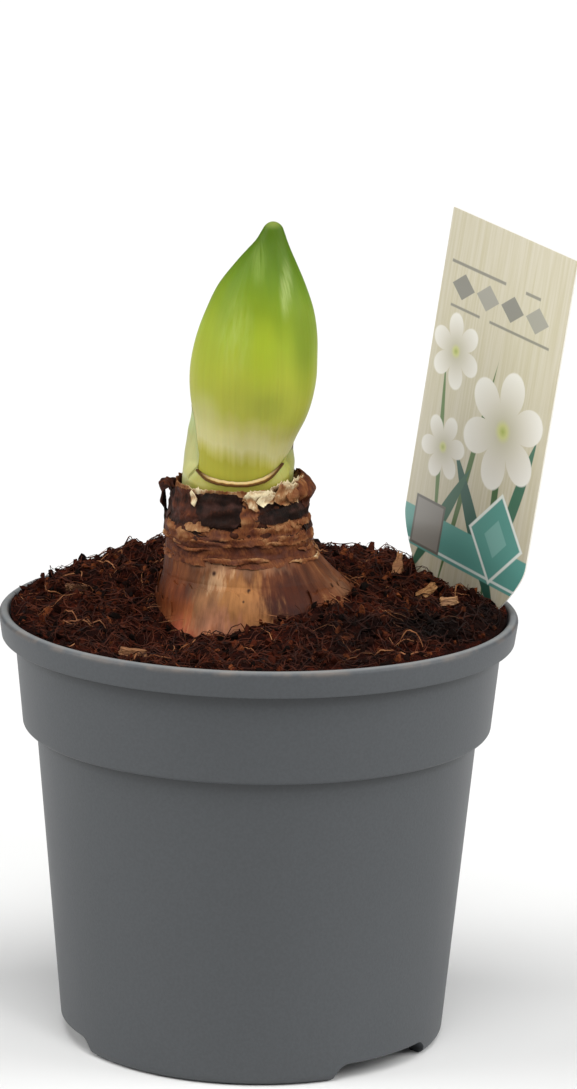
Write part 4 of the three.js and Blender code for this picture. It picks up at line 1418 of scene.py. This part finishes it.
def label_outline():
    """The label's outline in its own plane: across, and up from the level of the potting mix."""
    half, low = LABEL_WIDTH / 2, LABEL_ABOVE_MIX - LABEL_STRAIGHT
    shoulder, stake = LABEL_ABOVE_MIX - LABEL_SHOULDER, LABEL_ABOVE_MIX - STAKE_TOP
    foot = LABEL_ABOVE_MIX - LABEL_LENGTH
    curve = []
    for k in range(17):
        t = k / 16
        across = (1 - t) ** 2 * half + 2 * t * (1 - t) * half + t * t * STAKE_HALF_WIDTH
        curve.append((across, (1 - t) ** 2 * low + 2 * t * (1 - t) * shoulder + t * t * stake))
    side = [(half, LABEL_ABOVE_MIX), *curve, (STAKE_FOOT_HALF_WIDTH, foot + STAKE_POINT)]
    return side + [(0, foot)] + [(-x, z) for x, z in reversed(side)]


def label_body(label):
    """The label and its stake, cut from one sheet, with the place on the card kept for the print."""
    half = label.thickness / MM / 2
    bm = extruded(label_outline(), half, -half)
    rims = [e for e in bm.edges if abs(e.verts[0].co.y - e.verts[1].co.y) < 0.01]
    rounded = {"segments": 2, "profile": 0.5, "affect": "EDGES", "material": -1}
    bmesh.ops.bevel(bm, geom=rims, offset=LABEL_EDGE_ROUND, **rounded)
    card = bm.verts.layers.float_vector.new("card")
    for v in bm.verts:
        v[card] = v.co
        bow = LABEL_BOW * hump(v.co.z, LABEL_BOW_HEIGHT, LABEL_BOW_SPREAD)
        v.co.y += bow * (v.co.x / LABEL_WIDTH) ** 2
    bmesh.ops.transform(bm, matrix=LABEL_PLACE, verts=bm.verts)
    return bm


# How soft the edge of a printed block is, and a depth just inside the card's printed face.
INK_EDGE = 0.12
PRINTED_DEPTH = -0.2


def on_card(tree, card, centre, turn):
    """How far a place on the card is from a centre, across and up when the card is turned, with no
    sign, because every motif is the same on its four sides."""
    away = add(tree, "VectorMath", {0: card, 1: (centre[0], 0, centre[1])}, operation="SUBTRACT")
    turned_place = {"Vector": away, "Angle": math.radians(turn)}
    away = add(tree, "VectorRotate", turned_place, rotation_type="Y_AXIS")
    away = add(tree, "VectorMath", {0: away}, operation="ABSOLUTE")
    return [add(tree, "SeparateXYZ", {0: away}, out=axis) for axis in "XZ"]


def block(tree, card, centre, size, turn):
    """1 inside a rectangle that is printed on the card."""
    inside = 1.0
    for away, whole in zip(on_card(tree, card, centre, turn), size):
        ends = {"From Min": whole / 2 + INK_EDGE, "From Max": whole / 2 - INK_EDGE}
        within = add(tree, "MapRange", {"Value": away, **ends})
        inside = add(tree, "Math", {0: inside, 1: within}, operation="MULTIPLY")
    return inside


def diamond(tree, card, centre, size, turn):
    """1 inside a lozenge of this half width and half height."""
    across, up = on_card(tree, card, centre, turn)
    away = blended(tree, 0.0, (across, 1 / size[0]), (up, 1 / size[1]))
    return add(tree, "MapRange", {"Value": away, "From Min": 1.02, "From Max": 0.98})


def lance(tree, card, centre, size, turn):
    """1 inside a lance-shaped leaf of this half width and half length."""
    across, up = on_card(tree, card, centre, turn)
    along = add(tree, "Math", {0: up, 1: size[1]}, operation="DIVIDE")
    along = add(tree, "Math", {0: along, 1: 2.0}, operation="POWER")
    width = add(tree, "MapRange", {"Value": along, "To Min": size[0], "To Max": 0.0})
    over = add(tree, "Math", {0: width, 1: across}, operation="SUBTRACT")
    return add(tree, "MapRange", {"Value": over, "From Max": 0.25})


def blossom(tree, card, centre, size, turn):
    """A six-petalled flower of this radius: how far inside its petals a place is, and its distance
    from the middle as part of the radius."""
    across, up = on_card(tree, card, centre, turn)
    angle = add(tree, "Math", {0: across, 1: up}, operation="ARCTAN2")
    angle = add(tree, "Math", {0: angle, 1: 3.0}, operation="MULTIPLY")
    lobe = add(tree, "Math", {0: angle}, operation="COSINE")
    lobe = add(tree, "Math", {0: lobe}, operation="ABSOLUTE")
    lobe = add(tree, "Math", {0: lobe, 1: 0.55}, operation="POWER")
    edge = add(tree, "MapRange", {"Value": lobe, "To Min": 0.42 * size, "To Max": float(size)})
    away = add(tree, "CombineXYZ", {"X": across, "Z": up})
    away = add(tree, "VectorMath", {0: away}, out="Value", operation="LENGTH")
    inside = add(tree, "Math", {0: edge, 1: away}, operation="SUBTRACT")
    inside = add(tree, "MapRange", {"Value": inside, "From Max": 0.5})
    return inside, add(tree, "Math", {0: away, 1: float(size)}, operation="DIVIDE")


# The print: what is drawn, its centre, its size, its turn and its colour, from the back to the front.
# A blossom is its centre, its radius and its turn, and its shades go from its middle outwards.
LABEL_SHAPES = (
    (lance, (-3, 30), (1.1, 34), -9, "55703f"),
    (lance, (9, 28), (1.3, 30), 3, "4c6a46"),
    (lance, (-15, 34), (1.0, 26), 8, "5f7a44"),
    (lance, (4, 17), (2.6, 24), 34, "2f5a4c"),
    (lance, (-11, 16), (2.2, 20), -28, "3b6650"),
    (lance, (17, 30), (2.0, 19), -14, "44705a"),
    (block, (-11, 82), (22, 0.8), 0, "8f8c80"),
    (block, (11, 82), (6, 0.8), 0, "8f8c80"),
    (block, (-14, 71), (12, 0.7), 0, "8f8c80"),
    (block, (8, 71), (24, 0.7), 0, "8f8c80"),
    *[(diamond, (x, 76.5), (4.6, 3.4), 0, "8a887f") for x in (-16, 4)],
    *[(diamond, (x, 76.5), (4.6, 3.4), 0, "a09d92") for x in (-6, 14)],
)
LABEL_BLOSSOMS = (((-15, 60), 10, 12), ((-14, 35), 9, 40), ((8, 46), 16, -8))
PETAL_SHADES = ((0.0, "a0ab55"), (0.1, "c4c587"), (0.2, "c2bda9"), (0.55, "d6d1c4"), (0.95, "e7e4db"))
LABEL_BADGES = (
    (block, (0, 12), (51, 10), 0, None),
    (block, (0, 8.2), (51, 0.7), 0, "dfe8e2"),
    (block, (-15, 14), (12, 13), 0, "6a665f"),
    (block, (-15, 14), (10.6, 11.6), 0, "8e8a83"),
    (diamond, (12, 19), (11, 12), 0, "e6ebe4"),
    (diamond, (12, 19), (9.9, 10.8), 0, None),
    (diamond, (12, 19), (4.5, 5), 0, "7fb3aa"),
)


def printed(tree, card, base, shapes, strip):
    """A ground with shapes printed over it, and the strip's colour where a shape has none."""
    for shape, centre, size, turn, code in shapes:
        drawn = shape(tree, card, centre, size, turn)
        base = add(tree, "Mix", {"Factor": drawn, "A": base, "B": code or strip}, data_type="RGBA")
    return base


def printed_card(label):
    """A sheet of white polystyrene, printed in front with a made-up flower picture and sealed with a
    satin varnish: an even soft shine over flat inks."""

    def build(tree):
        card = add(tree, "Attribute", out="Vector", attribute_name="card")
        front = add(tree, "SeparateXYZ", {0: card}, out="Y")
        front = add(tree, "Math", {0: front, 1: PRINTED_DEPTH}, operation="LESS_THAN")
        wood = grain(tree, card, (0.7, 1, 26), detail=4, spread=(0.35, 0.65))
        base = add(tree, "Mix", {"Factor": wood, "A": "c3bb9f", "B": label.ground}, data_type="RGBA")
        base = printed(tree, card, base, LABEL_SHAPES, label.strip)
        for centre, size, turn in LABEL_BLOSSOMS:
            drawn, away = blossom(tree, card, centre, size, turn)
            petals = add(tree, "ValToRGB", {0: away}, stops=PETAL_SHADES)
            base = add(tree, "Mix", {"Factor": drawn, "A": base, "B": petals}, data_type="RGBA")
        base = printed(tree, card, base, LABEL_BADGES, label.strip)
        base = add(tree, "Mix", {"Factor": front, "A": "e6e3d9", "B": base}, data_type="RGBA")
        return {"Base Color": base}

    return finish_of("printed polystyrene card", build, Roughness=0.32, IOR=1.55, Coat_Weight=0.15)


def make_label(label):
    card = printed_card(label)
    finish_piece(label_body(label), "label_card_body", card, "label_card", "plant_label", sharp=30)


def splinter(spot, length, width, turn, tilt, seed):
    """One chip of bark: a bent splinter with one thin end and a rough face."""
    bm = bmesh.new()
    bmesh.ops.create_cube(bm, size=1)
    bmesh.ops.subdivide_edges(bm, edges=bm.edges[:], cuts=9, use_grid_fill=True)
    every_way = {"use_axis_x": True, "use_axis_y": True, "use_axis_z": True}
    for _ in range(2):
        bmesh.ops.smooth_vert(bm, verts=bm.verts, factor=0.5, **every_way)
    for v in bm.verts:
        along = v.co.x
        rough = wave(along * 3, v.co.y * 6, seed) + 0.6 * wave(along * 5, v.co.y * 14, v.co.z * 5 + seed)
        v.co.z *= 1 + 0.3 * rough
        v.co = (
            along * length * (1 + 0.35 * wave(v.co.y * 6, v.co.z * 4, seed)),
            v.co.y * width * (0.8 - 0.6 * along + 0.4 * wave(along * 4, seed)),
            v.co.z * CHIP_THICKNESS * 0.9 + 0.8 * along * along,
        )
    place = Matrix.Translation((*spot, mix_height(*spot) + CHIP_RISE))
    place @= Matrix.Rotation(math.radians(turn), 4, "Z") @ Matrix.Rotation(math.radians(tilt), 4, "Y")
    bmesh.ops.transform(bm, matrix=place, verts=bm.verts)
    return bm


def raw_bark(chips):
    """Torn wood under the bark: dry, matt and fibrous, tan with darker streaks of cork."""

    def build(tree):
        place = in_millimetres(tree)
        fibres = grain(tree, place, (1.6, 0.5, 0.5), detail=4, Distortion=0.4)
        stops = ((0.34, "5c351d"), (0.45, "8a5a33"), (0.55, "b07f4e"), (0.68, "c99e6a"))
        base = add(tree, "ValToRGB", {0: fibres}, stops=stops)
        base = add(tree, "Mix", {"Factor": 0.35, "A": base, "B": chips.bark}, data_type="RGBA")
        base = patched(tree, place, base, CHIP_PATCHES)
        bump = add(tree, "Bump", {"Height": fibres, "Distance": 0.4 * MM})
        return {"Base Color": base, "Normal": bump}

    return finish_of("raw bark", build, Roughness=0.75, IOR=1.5)


def make_chips(chips):
    bark = raw_bark(chips)
    for index, (spot, length, width, turn, tilt) in enumerate(CHIPS, 1):
        bm = splinter(spot, length, width, turn, tilt, index)
        finish_piece(bm, f"bark_splinter_{index}", bark, "bark", f"bark_chip_{index}")


def far_light(name, azimuth, elevation, spread, strength):
    """A very large, distant softbox: a sun with a wide disc, so that the floor is lit evenly."""
    lamp = bpy.data.lights.new(name, "SUN")
    lamp.angle = math.radians(spread)
    lamp.energy = strength
    rise = math.radians(elevation)
    towards = around(azimuth) * math.cos(rise) + Vector((0, 0, math.sin(rise)))
    linked(name, lamp).rotation_euler = towards.to_track_quat("Z", "Y").to_euler()


def studio_floor(stage):
    """The sweep of matt white paper that the pot stands on: it gives nothing back but soft light."""

    def build(tree):
        place = in_millimetres(tree)
        pulp = grain(tree, place, 1.5)
        bump = add(tree, "Bump", {"Height": pulp, "Distance": 0.02 * MM})
        return {"Normal": bump}

    return finish_of("white studio paper", build, Base_Color=list(stage.paper), Roughness=0.9)


def make_stage(stage):
    bm = bmesh.new()
    bmesh.ops.create_grid(bm, x_segments=1, y_segments=1, size=stage.floor / 2)
    floor = placed(bm, "studio_floor", studio_floor(stage))

    scene = bpy.context.scene
    world = bpy.data.worlds.new("studio")
    world.use_nodes = True
    glow = world.node_tree.nodes["Background"]
    glow.inputs["Color"].default_value = linear("f8f9fa")
    glow.inputs["Strength"].default_value = stage.ambient
    scene.world = world
    for name, (azimuth, elevation, spread, strength) in LIGHTS.items():
        far_light(name, azimuth, elevation, spread, getattr(stage, strength))
    scene.view_settings.view_transform = "Standard"
    scene.camera = photograph_camera()


def photograph_camera():
    """The camera that took the photograph."""
    lens = bpy.data.cameras.new("photograph")
    lens.sensor_fit = "VERTICAL"
    lens.sensor_height = SENSOR
    lens.lens = SENSOR * FOCAL_PIXELS / FRAME_HEIGHT
    lens.dof.use_dof = False
    lens.clip_start = 0.01
    camera = linked("photograph", lens)
    place = Matrix.Translation(INTO_FRAME @ CAMERA_AIM)
    place @= Matrix.Rotation(math.radians(90 - CAMERA_ELEVATION), 4, "X")
    place @= Matrix.Rotation(math.radians(CAMERA_ROLL), 4, "Z")
    camera.matrix_world = place @ Matrix.Translation((0, 0, CAMERA_DISTANCE))
    return camera


class PotSettings(PropertyGroup):
    plastic: colour("Plastic", "Colour of the moulded pot", "44474a")
    roughness: FloatProperty(
        name="Roughness",
        description="How matt the plastic is",
        default=0.5,
        min=0.1,
        max=1,
        subtype="FACTOR",
    )


class MixSettings(PropertyGroup):
    crumbs: IntProperty(name="Crumbs", description="Loose crumbs of peat in the top", default=4500, min=0)
    fibres: IntProperty(name="Fibres", description="Coir fibres in the top", default=1500, min=0)
    peat: colour("Peat", "Colour of the dry crowns of the mix", "562211")


class BulbSettings(PropertyGroup):
    root: colour("Roots", "Colour of the live roots", "e2d8bd")
    skin: colour("Skin", "Colour of the dry skin where it is worn thin", "a57a50")


class TunicSettings(PropertyGroup):
    paper: FloatProperty(
        name="Paper", description="Thickness of the dried tunic", default=0.0003, unit="LENGTH", precision=5
    )
    ribbons: IntProperty(name="Ribbons", description="Wrinkled rings in each band", default=12, min=0)


class ShootSettings(PropertyGroup):
    tip: colour("Tip", "Colour of the bud's tip", "48640c")
    leaf: colour("Leaves", "Colour of the young leaves", "abad72")


class LabelSettings(PropertyGroup):
    thickness: FloatProperty(
        name="Thickness", description="Thickness of the card", default=0.0006, unit="LENGTH", precision=5
    )
    ground: colour("Ground", "Colour of the printed ground", "cdc6b2")
    strip: colour("Strip", "Colour of the printed strip", "5f9d93")


class ChipSettings(PropertyGroup):
    bark: colour("Bark", "Colour of the torn wood", "a8743f")


class StageSettings(PropertyGroup):
    paper: colour("Paper", "Colour of the studio floor", "e4e4e3")
    floor: FloatProperty(name="Floor", description="Width of the studio floor", default=12, unit="LENGTH")
    ambient: FloatProperty(name="Ambient", description="Light from all round", default=0.12, min=0)
    side_light: FloatProperty(name="Sides", description="Light from each side", default=2.0, min=0)
    top_light: FloatProperty(name="Top", description="Light from above", default=1.85, min=0)
    front_light: FloatProperty(name="Front", description="Light from in front", default=0.4, min=0)


class AMARYLLIS_OT_pot(Operator):
    """Make the nursery pot with its rim, step, notches and drain holes"""

    bl_idname = "amaryllis.pot"
    bl_label = "Pot"

    def execute(self, context):
        make_pot(context.scene.amaryllis_pot)
        return {"FINISHED"}


class AMARYLLIS_OT_mix(Operator):
    """Make the potting mix with its crumbs and fibres"""

    bl_idname = "amaryllis.mix"
    bl_label = "Potting mix"

    def execute(self, context):
        make_mix(context.scene.amaryllis_mix)
        return {"FINISHED"}


class AMARYLLIS_OT_bulb(Operator):
    """Make the bulb with its dry skins, and finish its roots"""

    bl_idname = "amaryllis.bulb"
    bl_label = "Bulb"

    def execute(self, context):
        make_bulb(context.scene.amaryllis_bulb)
        return {"FINISHED"}


class AMARYLLIS_OT_tunic(Operator):
    """Make the torn paper sleeve, bands, strips and scraps round the neck"""

    bl_idname = "amaryllis.tunic"
    bl_label = "Tunic"

    def execute(self, context):
        make_tunic(context.scene.amaryllis_tunic)
        return {"FINISHED"}


class AMARYLLIS_OT_shoot(Operator):
    """Make the bud, the leaves and the cut scale"""

    bl_idname = "amaryllis.shoot"
    bl_label = "Shoot"

    def execute(self, context):
        make_shoot(context.scene.amaryllis_shoot)
        return {"FINISHED"}


class AMARYLLIS_OT_label(Operator):
    """Make the plant label with its print"""

    bl_idname = "amaryllis.label"
    bl_label = "Plant label"

    def execute(self, context):
        make_label(context.scene.amaryllis_label)
        return {"FINISHED"}


class AMARYLLIS_OT_chips(Operator):
    """Make the bark chips in the top of the mix"""

    bl_idname = "amaryllis.chips"
    bl_label = "Bark chips"

    def execute(self, context):
        make_chips(context.scene.amaryllis_chips)
        return {"FINISHED"}


class AMARYLLIS_OT_stage(Operator):
    """Set up the studio: floor, light and camera"""

    bl_idname = "amaryllis.stage"
    bl_label = "Stage"

    def execute(self, context):
        make_stage(context.scene.amaryllis_stage)
        return {"FINISHED"}


STEPS = {
    "pot": (PotSettings, AMARYLLIS_OT_pot),
    "mix": (MixSettings, AMARYLLIS_OT_mix),
    "bulb": (BulbSettings, AMARYLLIS_OT_bulb),
    "tunic": (TunicSettings, AMARYLLIS_OT_tunic),
    "shoot": (ShootSettings, AMARYLLIS_OT_shoot),
    "label": (LabelSettings, AMARYLLIS_OT_label),
    "chips": (ChipSettings, AMARYLLIS_OT_chips),
    "stage": (StageSettings, AMARYLLIS_OT_stage),
}


class AMARYLLIS_PT_panel(Panel):
    """The steps of the potted amaryllis, with their settings"""

    bl_idname = "AMARYLLIS_PT_panel"
    bl_label = "Potted amaryllis"
    bl_space_type = "VIEW_3D"
    bl_region_type = "UI"
    bl_category = "Amaryllis"

    def draw(self, context):
        for step, (settings, operator) in STEPS.items():
            box = self.layout.box()
            box.operator(operator.bl_idname)
            for name in settings.__annotations__:
                box.prop(getattr(context.scene, "amaryllis_" + step), name)


def register():
    for step, (settings, operator) in STEPS.items():
        bpy.utils.register_class(settings)
        bpy.utils.register_class(operator)
        setattr(bpy.types.Scene, "amaryllis_" + step, PointerProperty(type=settings))
    bpy.utils.register_class(AMARYLLIS_PT_panel)


def unregister():
    bpy.utils.unregister_class(AMARYLLIS_PT_panel)
    for step, (settings, operator) in STEPS.items():
        delattr(bpy.types.Scene, "amaryllis_" + step)
        bpy.utils.unregister_class(operator)
        bpy.utils.unregister_class(settings)


def main():
    register()
    for step in STEPS:
        getattr(bpy.ops.amaryllis, step)()


if __name__ == "__main__":
    main()
